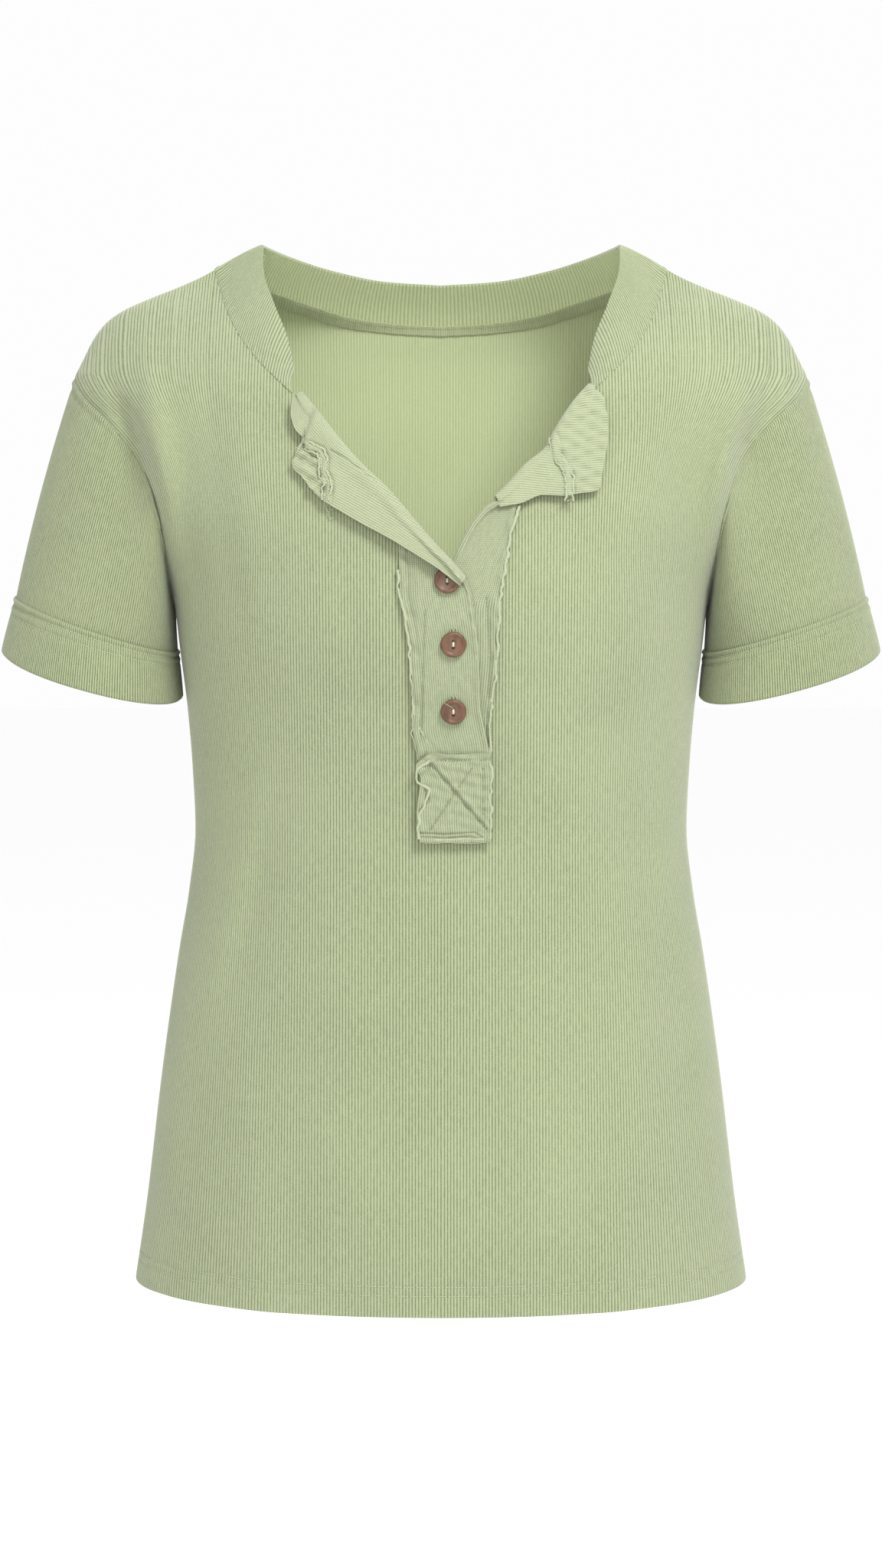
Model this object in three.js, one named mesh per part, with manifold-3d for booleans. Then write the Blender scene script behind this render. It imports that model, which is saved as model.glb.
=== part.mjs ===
// Short-sleeved henley top in ribbed knit, filled out, millimetres.
// +X is the wearer's left, -Y the front, +Z up; z = 0 lies at the neck ends of the shoulder seams.
import * as THREE from 'three';
import Module from 'manifold-3d';

const wasm = await Module();
wasm.setup();

// Driving sizes
const bodyWall = 1.8;
const sleeveWall = 1.8;
const cuffWall = 2.4;
const bandWall = 2.4;
const stripWall = 1.5;
const seamGap = 0.3;
const ringPower = 2.1;
const splitZ = -224;
const armPoint = 0.82;
const neckPoint = 0.62;
const frontNeckEnd = 0.385;
const buttonRadius = 7.5;
const buttonThick = 2.8;
const buttonHole = 0.95;
const buttonHolePitch = 3.6;
const slitWidth = 1.0;

const vec = (x, y, z) => new THREE.Vector3(x, y, z);

// Body rings: height, half width, depth of the front, depth of the back
const bodyRings = [
  [-622, 189, 118, 112],
  [-572, 181.5, 115, 109],
  [-495, 172, 108, 104],
  [-419, 161, 101, 97],
  [-381, 154.5, 98.5, 94],
  [-343, 150.5, 98, 92.5],
  [-306, 152, 101, 94],
  [-268, 155, 108, 99],
  [-235, 159, 115, 105],
  [-203, 163, 118, 109],
  [-165, 178.5, 115, 111],
  [-137, 193, 110, 110.5],
  [-116, 205, 104.5, 109.5],
  [-98, 216, 98.5, 108],
  [-80, 223, 91, 106.5],
  [-70, 222.5, 84, 105],
  [-63, 219.5, 77.5, 104],
  [-56, 216, 70, 102.5],
  [-49, 212.6, 62, 101],
  [-42, 208.2, 54, 98.5],
  [-35, 202, 45, 97],
  [-28, 191.5, 36, 92],
  [-21.4, 176.6, 26, 84],
  [-14.5, 159, 16, 75],
  [-7.6, 143.5, 7, 58],
  [-4, 137, 0, 0],
];

// Top edge of the front, from the underarm over the shoulder to the neckband end:
// column share, height, half width on the edge
const frontArmhole = [
  [1.0, -203, 163],
  [0.935, -193, 164.5],
  [0.885, -172, 165.5],
  [0.858, -150, 168.5],
  [0.845, -133, 173.5],
  [0.838, -116, 182],
  [0.832, -98, 197],
  [0.826, -80, 216],
  [0.82, -70, 222.5],
];
const backArmhole = [
  [1.0, -203, 163],
  [0.93, -192, 164.5],
  [0.875, -166, 165],
  [0.85, -140, 169.5],
  [0.838, -114, 183],
  [0.832, -94, 201],
  [0.826, -79, 217],
  [0.82, -70, 222.5],
];
const shoulderSeam = [
  [0.82, -70, 222.5],
  [0.8, -56, 216],
  [0.775, -42, 208.2],
  [0.745, -31, 196.5],
  [0.71, -21.4, 176.6],
  [0.665, -12.2, 153.6],
  [0.62, -4, 137],
];
const frontNeck = [
  [0.62, -4, 137],
  [0.603, -13, 134],
  [0.585, -25, 130],
  [0.55, -44, 120.5],
  [0.5, -60, 108.5],
  [0.445, -71, 97.5],
  [0.385, -81, 87],
];
const backNeck = [
  [0.62, -4, 137],
  [0.59, -7.6, 124],
  [0.5, -14, 102],
  [0.42, -19.5, 84],
  [0.28, -27, 57],
  [0.14, -31, 28],
  [0.0, -32.5, 0],
];

// Neck opening of the front: place across, height
const openingRight = [
  [87, -81],
  [79, -86.5],
  [74, -95],
  [67, -106],
  [61.5, -116.5],
  [50, -127],
  [39, -138.5],
  [32, -146],
  [24.5, -165],
  [15, -186],
  [13.2, -193],
];
const openingLeft = [
  [-87, -81],
  [-80, -88],
  [-73, -96],
  [-65.5, -105.5],
  [-57, -115.5],
  [-47.5, -126],
  [-37, -135.5],
  [-26, -146.5],
  [-16, -159],
  [-7.5, -169],
  [5, -182.5],
  [11.8, -193],
];

// Smooth value of one column of a table whose first column rises or falls steadily
function tableValue(table, key, column) {
  const rising = table[0][0] < table[table.length - 1][0];
  const rows = rising ? table : [...table].reverse();
  const last = rows.length - 1;
  if (key <= rows[0][0]) return rows[0][column];
  if (key >= rows[last][0]) return rows[last][column];
  let k = 0;
  while (rows[k + 1][0] < key) k += 1;
  const slope = (i) => (rows[i + 1][column] - rows[i][column]) / (rows[i + 1][0] - rows[i][0]);
  const tangent = (i) => {
    if (i === 0) return slope(0);
    if (i === last) return slope(last - 1);
    const before = slope(i - 1);
    const after = slope(i);
    if (before * after <= 0) return 0;
    return (2 * before * after) / (before + after);
  };
  const width = rows[k + 1][0] - rows[k][0];
  const s = (key - rows[k][0]) / width;
  const m0 = tangent(k) * width;
  const m1 = tangent(k + 1) * width;
  const a = rows[k][column];
  const b = rows[k + 1][column];
  return (2 * s ** 3 - 3 * s * s + 1) * a + (s ** 3 - 2 * s * s + s) * m0
    + (3 * s * s - 2 * s ** 3) * b + (s ** 3 - s * s) * m1;
}

const halfWidthAt = (z) => tableValue(bodyRings, z, 1);
const depthAt = (z, side) => tableValue(bodyRings, z, side < 0 ? 2 : 3);

// Point of the body at a ring angle; side -1 is the front, +1 the back
function ringPoint(angle, z, side) {
  const share = Math.min(1, Math.abs(Math.sin(angle)));
  const rest = Math.max(0, Math.cos(angle));
  const x = halfWidthAt(z) * share ** (2 / ringPower) * Math.sign(angle);
  const y = side * (depthAt(z, side) * rest ** (2 / ringPower) + seamGap * 0.6);
  return vec(x, y, z);
}

// Ring angle at which the body is as wide as x
function angleAt(x, z) {
  const share = Math.min(1, Math.abs(x) / halfWidthAt(z));
  return Math.asin(Math.min(1, share ** (ringPower / 2))) * Math.sign(x);
}

// Ring angle for a share of the length round the ring, from the middle to an edge angle
const arcSteps = 60;
function angleOfShare(share, z, side, edge = Math.PI * 0.5) {
  const lengths = [0];
  let before = ringPoint(0, z, side);
  for (let i = 1; i <= arcSteps; i += 1) {
    const here = ringPoint((i / arcSteps) * edge, z, side);
    lengths.push(lengths[i - 1] + here.distanceTo(before));
    before = here;
  }
  const wanted = Math.min(1, Math.abs(share)) * lengths[arcSteps];
  let k = 0;
  while (k < arcSteps - 1 && lengths[k + 1] < wanted) k += 1;
  const part = (wanted - lengths[k]) / (lengths[k + 1] - lengths[k]);
  return ((k + part) / arcSteps) * edge * Math.sign(share || 1);
}

// Share and ring angle of the armhole or shoulder edge at a height
const byHeight = (table) => table.map(([share, z, x]) => [z, share, x]);
const frontArmByHeight = byHeight(frontArmhole);
const backArmByHeight = byHeight(backArmhole);
const shoulderByHeight = byHeight(shoulderSeam);
function sideEdge(z, side) {
  if (z <= frontArmhole[0][1]) return { share: 1, edge: Math.PI * 0.5 };
  if (z >= shoulderSeam[0][1]) return { share: tableValue(shoulderByHeight, z, 1), edge: Math.PI * 0.5 };
  const table = side < 0 ? frontArmByHeight : backArmByHeight;
  return { share: tableValue(table, z, 1), edge: angleAt(tableValue(table, z, 2), z) };
}

// Column share that stands at x on the chest of the front
function shareOfX(x) {
  let low = 0;
  let high = 1;
  for (let i = 0; i < 30; i += 1) {
    const middle = (low + high) / 2;
    if (ringPoint(angleOfShare(middle, splitZ, -1), splitZ, -1).x < Math.abs(x)) low = middle;
    else high = middle;
  }
  return low * Math.sign(x);
}

const openingShares = (rows) => rows.map(([x, z], i) => {
  const share = i === 0 ? frontNeckEnd * Math.sign(x) : shareOfX(x);
  return [share, z, Math.abs(x), x];
});
const openingRightShares = openingShares(openingRight);
const openingLeftShares = openingShares(openingLeft);
const openingFoot = openingRightShares[openingRightShares.length - 1][0];

// Height and ring angle of the top edge of a column
function columnTop(share, side) {
  const size = Math.abs(share);
  const edge = Math.PI * 0.5 * Math.sign(share);
  if (size >= neckPoint && size <= armPoint) return { z: tableValue(shoulderSeam, size, 1), angle: edge };
  if (size === 1) return { z: frontArmhole[0][1], angle: edge };
  if (size > armPoint) {
    const table = side < 0 ? frontArmhole : backArmhole;
    const z = tableValue(table, size, 1);
    return { z, angle: angleAt(tableValue(table, size, 2), z) * Math.sign(share) };
  }
  if (side > 0 || size > frontNeckEnd) {
    const table = side < 0 ? frontNeck : backNeck;
    const z = tableValue(table, size, 1);
    return { z, angle: angleAt(tableValue(table, size, 2), z) * Math.sign(share) };
  }
  const rows = share >= openingFoot ? openingRightShares : openingLeftShares;
  const z = tableValue(rows, share, 1);
  return { z, angle: angleAt(tableValue(rows, share, 3), z) };
}

// Soft folds of the body: side, place across, height, half width, half height, lean, size
const bodyFolds = [
  [-1, -168, -150, 13, 60, -0.12, 2.6],
  [-1, 168, -150, 13, 60, 0.12, 2.6],
  [-1, -112, -545, 16, 120, -0.1, 2.4],
  [-1, 108, -540, 16, 120, 0.1, 2.2],
  [-1, 60, -300, 14, 70, -0.5, 1.2],
  [1, -80, -520, 18, 110, -0.08, 2.4],
  [1, 84, -510, 18, 110, 0.08, 2.4],
  [1, -150, -160, 14, 60, -0.2, 2.2],
  [1, 150, -160, 14, 60, 0.2, 2.2],
];

function foldLift(x, z, side) {
  let lift = 0;
  for (const [where, x0, z0, halfX, halfZ, lean, size] of bodyFolds) {
    const across = (x - x0 - lean * (z - z0)) / halfX;
    const along = (z - z0) / halfZ;
    if (where === side) lift += size * Math.exp(-across * across - along * along);
  }
  return lift;
}

// Place on a column: v runs 0 to 1 from the hem to the split height and 1 to 2 above it
function bodyPlace(share, v, side) {
  if (v <= 1) {
    const z = bodyRings[0][0] + (splitZ - bodyRings[0][0]) * v;
    return { z, angle: angleOfShare(share, z, side) };
  }
  const top = columnTop(share, side);
  const natural = (z) => {
    const rim = sideEdge(z, side);
    return angleOfShare(share / rim.share, z, side, rim.edge);
  };
  const z = splitZ + (top.z - splitZ) * (v - 1);
  return { z, angle: natural(z) + (top.angle - natural(top.z)) * (v - 1) ** 1.7 };
}

function bodySurface({ angle, z }, side) {
  const point = ringPoint(angle, z, side);
  const rim = Math.max(0, Math.cos(angle)) ** 0.5;
  point.y += side * foldLift(point.x, z, side) * rim;
  return point;
}

const bodyPoint = (share, v, side) => bodySurface(bodyPlace(share, v, side), side);

function bodyOut(share, v, side) {
  const { angle, z } = bodyPlace(share, v, side);
  const edge = Math.PI * 0.5;
  const turned = (step) => bodySurface({ angle: Math.max(-edge, Math.min(edge, angle + step)), z }, side);
  const raised = (step) => bodySurface({ angle, z: Math.min(-4, z + step) }, side);
  const across = turned(0.02).sub(turned(-0.02));
  const up = raised(0.4).sub(raised(-0.4));
  return across.cross(up).multiplyScalar(-side).normalize();
}

// Closed mesh from corner points and faces
function meshOf(points, faces, name, material) {
  const geometry = new THREE.BufferGeometry();
  const numbers = new Float32Array(points.length * 3);
  points.forEach((p, i) => numbers.set([p.x, p.y, p.z], i * 3));
  geometry.setAttribute('position', new THREE.BufferAttribute(numbers, 3));
  geometry.setIndex(faces);
  geometry.computeVertexNormals();
  const mesh = new THREE.Mesh(geometry, material);
  mesh.name = name;
  return mesh;
}

// Outward normals of a grid of points; sign -1 turns them over, wrap joins the last column to the first
function gridNormals(grid, sign, wrap) {
  const columns = grid.length;
  const rows = grid[0].length;
  return grid.map((column, i) => column.map((point, j) => {
    const left = wrap ? grid[(i + columns - 1) % columns][j] : grid[Math.max(0, i - 1)][j];
    const right = wrap ? grid[(i + 1) % columns][j] : grid[Math.min(columns - 1, i + 1)][j];
    const below = column[Math.max(0, j - 1)];
    const above = column[Math.min(rows - 1, j + 1)];
    const across = right.clone().sub(left);
    const along = above.clone().sub(below);
    return across.cross(along).multiplyScalar(sign).normalize();
  }));
}

// Shell of a grid: outer points, inner points one wall further in, and the rims
function shell(grid, wall, sign, wrap, name, material, edit) {
  const normals = gridNormals(grid, sign, wrap);
  if (edit) edit(normals);
  const columns = grid.length;
  const rows = grid[0].length;
  const points = [];
  grid.forEach((column) => column.forEach((point) => points.push(point)));
  grid.forEach((column, i) => column.forEach((point, j) => {
    points.push(point.clone().addScaledVector(normals[i][j], -wall));
  }));
  const count = columns * rows;
  const at = (i, j, inner) => (i % columns) * rows + j + (inner ? count : 0);
  const faces = [];
  const quad = (a, b, c, d, swapped) => {
    const corners = swapped ? [a, b, d, b, c, d] : [a, b, c, a, c, d];
    const [p, q, r, t, u, w] = corners;
    faces.push(...(sign > 0 ? corners : [p, r, q, t, w, u]));
  };
  const spans = wrap ? columns : columns - 1;
  for (let i = 0; i < spans; i += 1) {
    for (let j = 0; j < rows - 1; j += 1) {
      const swapped = !wrap && i * 2 >= spans;
      quad(at(i, j), at(i + 1, j), at(i + 1, j + 1), at(i, j + 1), swapped);
      quad(at(i, j, 1), at(i, j + 1, 1), at(i + 1, j + 1, 1), at(i + 1, j, 1), swapped);
    }
    quad(at(i, 0, 1), at(i + 1, 0, 1), at(i + 1, 0), at(i, 0));
    quad(at(i, rows - 1), at(i + 1, rows - 1), at(i + 1, rows - 1, 1), at(i, rows - 1, 1));
  }
  for (let j = 0; j < rows - 1 && !wrap; j += 1) {
    quad(at(0, j), at(0, j + 1), at(0, j + 1, 1), at(0, j, 1));
    quad(at(columns - 1, j), at(columns - 1, j, 1), at(columns - 1, j + 1, 1), at(columns - 1, j + 1));
  }
  return meshOf(points, faces, name, material);
}

const spread = (from, to, count) => Array.from({ length: count }, (_, i) => from + ((to - from) * i) / count);

const clothColour = new THREE.Color(0.78, 0.82, 0.66);
const cloth = new THREE.MeshStandardMaterial({ color: clothColour, roughness: 0.92, metalness: 0 });
const buttonColour = new THREE.Color(0.55, 0.4, 0.29);
const buttonLook = new THREE.MeshStandardMaterial({ color: buttonColour, roughness: 0.5, metalness: 0 });

const group = new THREE.Group();
group.name = 'henley_shirt';

// Body panels
const armSteps = 10;
const rowKeys = (table) => table.map((row, i) => [i / (table.length - 1), row[0]]);
const armShares = (table) => {
  const loop = rowKeys([...table].reverse());
  return spread(0, 1, armSteps).concat(1).map((e) => tableValue(loop, e, 1));
};
const frontArm = armShares(frontArmhole);
const backArm = armShares(backArmhole);
const rowPlaces = [...spread(0, 1, 8), ...spread(1, 2, 7), 2];
const shoulderShares = spread(armPoint, neckPoint, 7).slice(1);
const neckShares = spread(neckPoint, frontNeckEnd, 4);
const upperShares = [...[...frontArm].reverse(), ...shoulderShares, ...neckShares];
const backNeckShares = [...neckShares, ...spread(frontNeckEnd, 0, 4)];
const backShares = [...[...backArm].reverse(), ...shoulderShares, ...backNeckShares];
const frontMiddle = [
  ...spread(frontNeckEnd, openingFoot, 6),
  ...spread(openingFoot, -frontNeckEnd, 7),
];
const frontShares = [
  ...upperShares,
  ...frontMiddle,
  ...[...upperShares, frontNeckEnd].reverse().map((s) => -s),
];
const backAll = [...backShares, 0, ...[...backShares].reverse().map((s) => -s)];
const frontGrid = frontShares.map((share) => rowPlaces.map((v) => bodyPoint(share, v, -1)));
const backGrid = backAll.map((share) => rowPlaces.map((v) => bodyPoint(share, v, 1)));

// Wall directions on the side and shoulder seams keep out of y so that the two panels part evenly
function seamNormal(share) {
  const size = Math.abs(share);
  const before = Math.max(neckPoint, size - 0.01);
  const after = Math.min(armPoint, size + 0.01);
  const run = tableValue(shoulderSeam, after, 2) - tableValue(shoulderSeam, before, 2);
  const drop = tableValue(shoulderSeam, before, 1) - tableValue(shoulderSeam, after, 1);
  return vec(Math.sign(share) * drop, 0, run).normalize();
}

const walls = {};
const edgeNormals = (shares, key) => (normals) => {
  walls[key] = normals;
  const side = key === 'front' ? -1 : 1;
  shares.forEach((share, i) => rowPlaces.forEach((v, j) => normals[i][j].copy(bodyOut(share, v, side))));
  shares.forEach((share, i) => {
    const size = Math.abs(share);
    if (size === 1) {
      normals[i].forEach((n) => n.setY(0).setX(Math.sign(share) * Math.max(0.2, Math.abs(n.x))).normalize());
    }
    if (size <= armPoint && size >= neckPoint) normals[i][normals[i].length - 1].copy(seamNormal(share));
  });
};
const frontPanel = shell(frontGrid, bodyWall, -1, false, 'front_body', cloth, edgeNormals(frontShares, 'front'));
group.add(shell(backGrid, bodyWall, 1, false, 'back_body', cloth, edgeNormals(backAll, 'back')));

// Solids and joined bodies
function toSolid(mesh) {
  const numProp = 3;
  const vertProperties = new Float32Array(mesh.geometry.attributes.position.array);
  const triVerts = new Uint32Array(mesh.geometry.index.array);
  return new wasm.Manifold(new wasm.Mesh({ numProp, vertProperties, triVerts }));
}

function fromSolid(solid, name, material) {
  const { numProp, vertProperties, triVerts } = solid.getMesh();
  const points = [];
  for (let i = 0; i < vertProperties.length; i += numProp) {
    points.push(vec(vertProperties[i], vertProperties[i + 1], vertProperties[i + 2]));
  }
  return meshOf(points, Array.from(triVerts), name, material);
}

// Point of the front panel, or of its rings beyond it, at a place across and a height, moved out by a lift
function panelCorner(i, j) {
  return { at: frontGrid[i][j], out: walls.front[i][j] };
}

function insideCorner(a, b, c, x, z) {
  const area = (b.at.x - a.at.x) * (c.at.z - a.at.z) - (c.at.x - a.at.x) * (b.at.z - a.at.z);
  const shareB = ((x - a.at.x) * (c.at.z - a.at.z) - (c.at.x - a.at.x) * (z - a.at.z)) / area;
  const shareC = ((b.at.x - a.at.x) * (z - a.at.z) - (x - a.at.x) * (b.at.z - a.at.z)) / area;
  if (shareB < 0 || shareC < 0 || shareB + shareC > 1) return null;
  const mix = (k) => a[k].clone().multiplyScalar(1 - shareB - shareC)
    .addScaledVector(b[k], shareB)
    .addScaledVector(c[k], shareC);
  return { at: mix('at'), out: mix('out').normalize() };
}

function onFront(x, z, lift) {
  const from = upperShares.length - 1;
  const to = frontShares.length - from;
  for (let i = from; i < to; i += 1) {
    for (let j = 0; j < rowPlaces.length - 1; j += 1) {
      const [a, b, c, d] = [[i, j], [i + 1, j], [i + 1, j + 1], [i, j + 1]].map(([k, m]) => panelCorner(k, m));
      const swapped = i * 2 >= frontShares.length - 1;
      const found = insideCorner(a, b, swapped ? d : c, x, z) || insideCorner(swapped ? b : a, c, d, x, z);
      if (found) return found.at.addScaledVector(found.out, lift);
    }
  }
  const place = (px, pz) => {
    const point = ringPoint(angleAt(px, pz), pz, -1);
    point.y -= foldLift(point.x, pz, -1);
    return point;
  };
  const across = place(x + 1, z).sub(place(x - 1, z));
  const up = place(x, z + 1).sub(place(x, z - 1));
  return place(x, z).addScaledVector(across.cross(up).normalize(), lift);
}

// Front slit below the crossing, hidden under the strips
const slitTop = -180;
const slitFoot = -322;
const slitBox = wasm.Manifold.cube([slitWidth, 60, slitTop - slitFoot], true)
  .translate([12.5, -110, (slitTop + slitFoot) / 2]);
group.add(fromSolid(toSolid(frontPanel).subtract(slitBox), 'front_body', cloth));

// Sleeve: armhole loop to cuff seam
const loopStations = [
  ...frontArm.map((share, k) => ({ share, side: -1, t: (0.5 * k) / armSteps })),
  ...[...backArm].reverse().slice(1, -1).map((share, k) => ({ share, side: 1, t: 0.5 + (0.5 * (k + 1)) / armSteps })),
];

// Body point, its wall direction and the way along the seam at each station
const seamStations = (stations) => stations.map(({ share, side }) => {
  const at = bodyPoint(share, 2, side);
  const column = side < 0 ? frontShares.indexOf(share) : backAll.indexOf(share);
  return { at, out: walls[side < 0 ? 'front' : 'back'][column][rowPlaces.length - 1] };
});

// Start of the next piece: a gap away from the seam, square to it, and clear of the body where it turns back
function awayFromSeam(stations, k, wrap, target, ownOut) {
  const last = stations.length - 1;
  const before = stations[wrap ? (k + last) % (last + 1) : Math.max(0, k - 1)].at;
  const after = stations[wrap ? (k + 1) % (last + 1) : Math.min(last, k + 1)].at;
  const tangent = after.clone().sub(before).normalize();
  const here = stations[k];
  const away = target.clone().sub(here.at);
  away.addScaledVector(tangent, -away.dot(tangent)).normalize();
  const back = Math.max(0, -ownOut.dot(here.out));
  return here.at.clone().addScaledVector(away, seamGap * 1.25).addScaledVector(here.out, seamGap * 1.25 * back);
}

// Rings across the sleeve: outer x, outer z, inner x, inner z, half depth, dip of the front
const cuffSeamRing = [259, -201.5, 161.3, -235, 48, 3];
const cuffMiddleRing = [264.2, -218, 159.6, -248.5, 50, 5];
const cuffFootRing = [268, -233.5, 158.6, -263.5, 50, 9];
const ringPowerSleeve = 2.2;

function sleeveRingPoint(ring, t) {
  const [outerX, outerZ, innerX, innerZ, depth, dip] = ring;
  const turn = t * Math.PI * 2;
  const bend = (value) => Math.sign(value) * Math.abs(value) ** (2 / ringPowerSleeve);
  const along = bend(Math.cos(turn));
  const across = bend(Math.sin(turn));
  const x = (outerX + innerX) / 2 + ((outerX - innerX) / 2) * along;
  const z = (outerZ + innerZ) / 2 + ((outerZ - innerZ) / 2) * along;
  return vec(x, -depth * across, z - dip * Math.max(0, across));
}

// Fullness of the sleeve half way down: place round it, outward size
const sleeveFullness = [
  [0, 1.8],
  [0.12, 3.5],
  [0.25, 6],
  [0.38, 3],
  [0.5, 0],
  [0.62, 3],
  [0.75, 5],
  [0.88, 3.5],
  [1, 1.8],
];

const sleeveSeam = seamStations(loopStations);
const sleeveOut = (t) => vec(Math.cos(t * Math.PI * 2), -Math.sin(t * Math.PI * 2), 0);

function sleevePoint(k, v) {
  const { t } = loopStations[k];
  const foot = sleeveRingPoint(cuffSeamRing, t);
  const top = awayFromSeam(sleeveSeam, k, true, foot, sleeveOut(t));
  const out = sleeveRingPoint(cuffSeamRing, t).sub(vec(210, 0, -218)).normalize();
  const size = tableValue(sleeveFullness, t, 1) * Math.sin(Math.PI * v) ** 0.8;
  return top.lerp(foot, v).addScaledVector(out, v > 0 && v < 1 ? size : 0);
}

// The wall of the sleeve starts in the direction of the body's wall where the two run on
function meetSleeve(normals) {
  normals.forEach((column, k) => {
    const agree = Math.min(1, Math.max(0, (column[0].dot(sleeveSeam[k].out) - 0.1) / 0.5));
    column[0].lerp(sleeveSeam[k].out, agree).normalize();
  });
}

const sleeveRows = [...spread(0, 1, 7), 1];
const sleeveGrid = loopStations.map((station, k) => sleeveRows.map((v) => sleevePoint(k, v)));
const cuffRows = [0, 0.12, 0.5, 0.92, 1];
const cuffGrid = spread(0, 1, 28).map((t) => cuffRows.map((v) => {
  const seam = sleeveRingPoint(cuffSeamRing, t);
  const middle = sleeveRingPoint(cuffMiddleRing, t);
  const foot = sleeveRingPoint(cuffFootRing, t);
  const down = foot.clone().sub(seam).normalize().multiplyScalar(seamGap);
  const a = seam.add(down);
  const first = a.clone().lerp(middle, v);
  const second = middle.clone().lerp(foot, v);
  const point = first.lerp(second, v);
  const out = point.clone().sub(vec(212, 0, -230)).setZ(0).normalize();
  return point.addScaledVector(out, v === 0 || v === 1 ? -0.3 : 0.5);
}));

function mirrored(mesh, name) {
  const copy = mesh.geometry.clone();
  const places = copy.attributes.position.array;
  for (let i = 0; i < places.length; i += 3) places[i] = -places[i];
  const faces = Array.from(copy.index.array);
  for (let i = 0; i < faces.length; i += 3) [faces[i + 1], faces[i + 2]] = [faces[i + 2], faces[i + 1]];
  copy.setIndex(faces);
  copy.computeVertexNormals();
  const other = new THREE.Mesh(copy, mesh.material);
  other.name = name;
  return other;
}

const sleeveLeft = shell(sleeveGrid, sleeveWall, 1, true, 'sleeve_left', cloth, meetSleeve);
const cuffLeft = shell(cuffGrid, cuffWall, 1, true, 'cuff_left', cloth);
group.add(sleeveLeft);
group.add(cuffLeft);
group.add(mirrored(sleeveLeft, 'sleeve_right'));
group.add(mirrored(cuffLeft, 'cuff_right'));

// Neckband: its upper edge from the middle of the back (0) over the shoulder (0.5) to its front end (1)
const bandTop = [
  [0, 0, 72, -8.5],
  [0.15, 34, 68, -6.5],
  [0.3, 68, 53, -0.5],
  [0.42, 95, 29, 7],
  [0.5, 108.5, 0, 11.5],
  [0.6, 107.5, -16, -3],
  [0.75, 99.5, -38, -26],
  [0.88, 90.5, -54, -48],
  [1, 86, -68, -67],
];

const bandStations = [
  frontNeckEnd,
  ...[...neckShares].reverse(),
  ...backNeckShares.slice(1),
  0,
  ...[...backNeckShares].slice(1).reverse().map((share) => -share),
  ...neckShares.map((share) => -share),
  -frontNeckEnd,
].map((share, k) => {
  const front = k <= neckShares.length || k >= neckShares.length + backNeckShares.length * 2;
  return { share, side: front ? -1 : 1 };
});
const bandSeam = seamStations(bandStations);

function bandPoint(k, v) {
  const { share, side } = bandStations[k];
  const size = Math.abs(share);
  const key = side < 0 ? 1 - (0.5 * (size - frontNeckEnd)) / (neckPoint - frontNeckEnd) : (0.5 * size) / neckPoint;
  const across = Math.sign(share) * tableValue(bandTop, key, 1);
  const top = vec(across, tableValue(bandTop, key, 2), tableValue(bandTop, key, 3));
  const seam = awayFromSeam(bandSeam, k, false, top, bandSeam[k].out);
  if (size === neckPoint) seam.y = 0;
  const out = vec(seam.x, seam.y, 0).normalize();
  return seam.lerp(top, v).addScaledVector(out, 1.6 * Math.sin(Math.PI * v));
}

const bandRows = [0, 0.25, 0.5, 0.75, 1];
const bandGrid = bandStations.map((station, k) => bandRows.map((v) => bandPoint(k, v)));

// The wall of the band starts in the direction of the wall of the body under it
function meetBody(normals) {
  normals.forEach((column, k) => column[0].copy(bandSeam[k].out));
}
group.add(shell(bandGrid, bandWall, 1, false, 'neckband', cloth, meetBody));

// Front strips: height, left edge, right edge
const underStrip = [
  [-341, -9, 25.5],
  [-310, -10, 27.5],
  [-289, -11, 28.6],
  [-268, -11, 29.2],
  [-254, -11, 31],
  [-232, -11, 32.8],
  [-208, -11, 32.7],
  [-202, -11, 33.4],
  [-194, 9, 34.6],
  [-186, 15.6, 36],
  [-173, 21.2, 38.5],
  [-165, 24.8, 40],
  [-147, 32.3, 43.6],
];
const underStripTop = [
  [0, 31.6, -142.4],
  [0.5, 38, -136.2],
  [1, 44.5, -129.3],
];
const upperStrip = [
  [-341, -11.5, 25.2],
  [-310, -12, 27.2],
  [-289, -13.4, 27.2],
  [-275, -16.3, 24.9],
  [-264, -15.6, 22.8],
  [-254, -16, 22.2],
  [-239, -17.3, 21.8],
  [-228, -17.9, 20.6],
  [-220, -19.2, 16],
  [-211, -21, 15.2],
  [-200, -23.6, 17.4],
];
const upperStripTop = [
  [0, -25, -144.5],
  [0.25, -15.5, -155.5],
  [0.5, -6.4, -166.5],
  [0.75, 5.6, -179.2],
  [1, 13.2, -189],
];
const layerGap = 0.55;
const layer = stripWall + layerGap;

function stripGrid(table, tops, columns, lowRows, highRows, liftOf) {
  const last = table[table.length - 1];
  return spread(0, 1, columns).concat(1).map((s) => {
    const rows = [];
    spread(0, 1, lowRows).concat(1).forEach((v) => {
      const z = table[0][0] + (last[0] - table[0][0]) * v;
      const x = tableValue(table, z, 1) * (1 - s) + tableValue(table, z, 2) * s;
      rows.push([x, z]);
    });
    const [baseX, baseZ] = rows[rows.length - 1];
    for (let k = 1; k <= highRows; k += 1) {
      const share = k / highRows;
      const x = baseX + (tableValue(tops, s, 1) - baseX) * share;
      rows.push([x, baseZ + (tableValue(tops, s, 2) - baseZ) * share]);
    }
    return rows.map(([x, z]) => onFront(x, z, liftOf(x, z)));
  });
}

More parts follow.
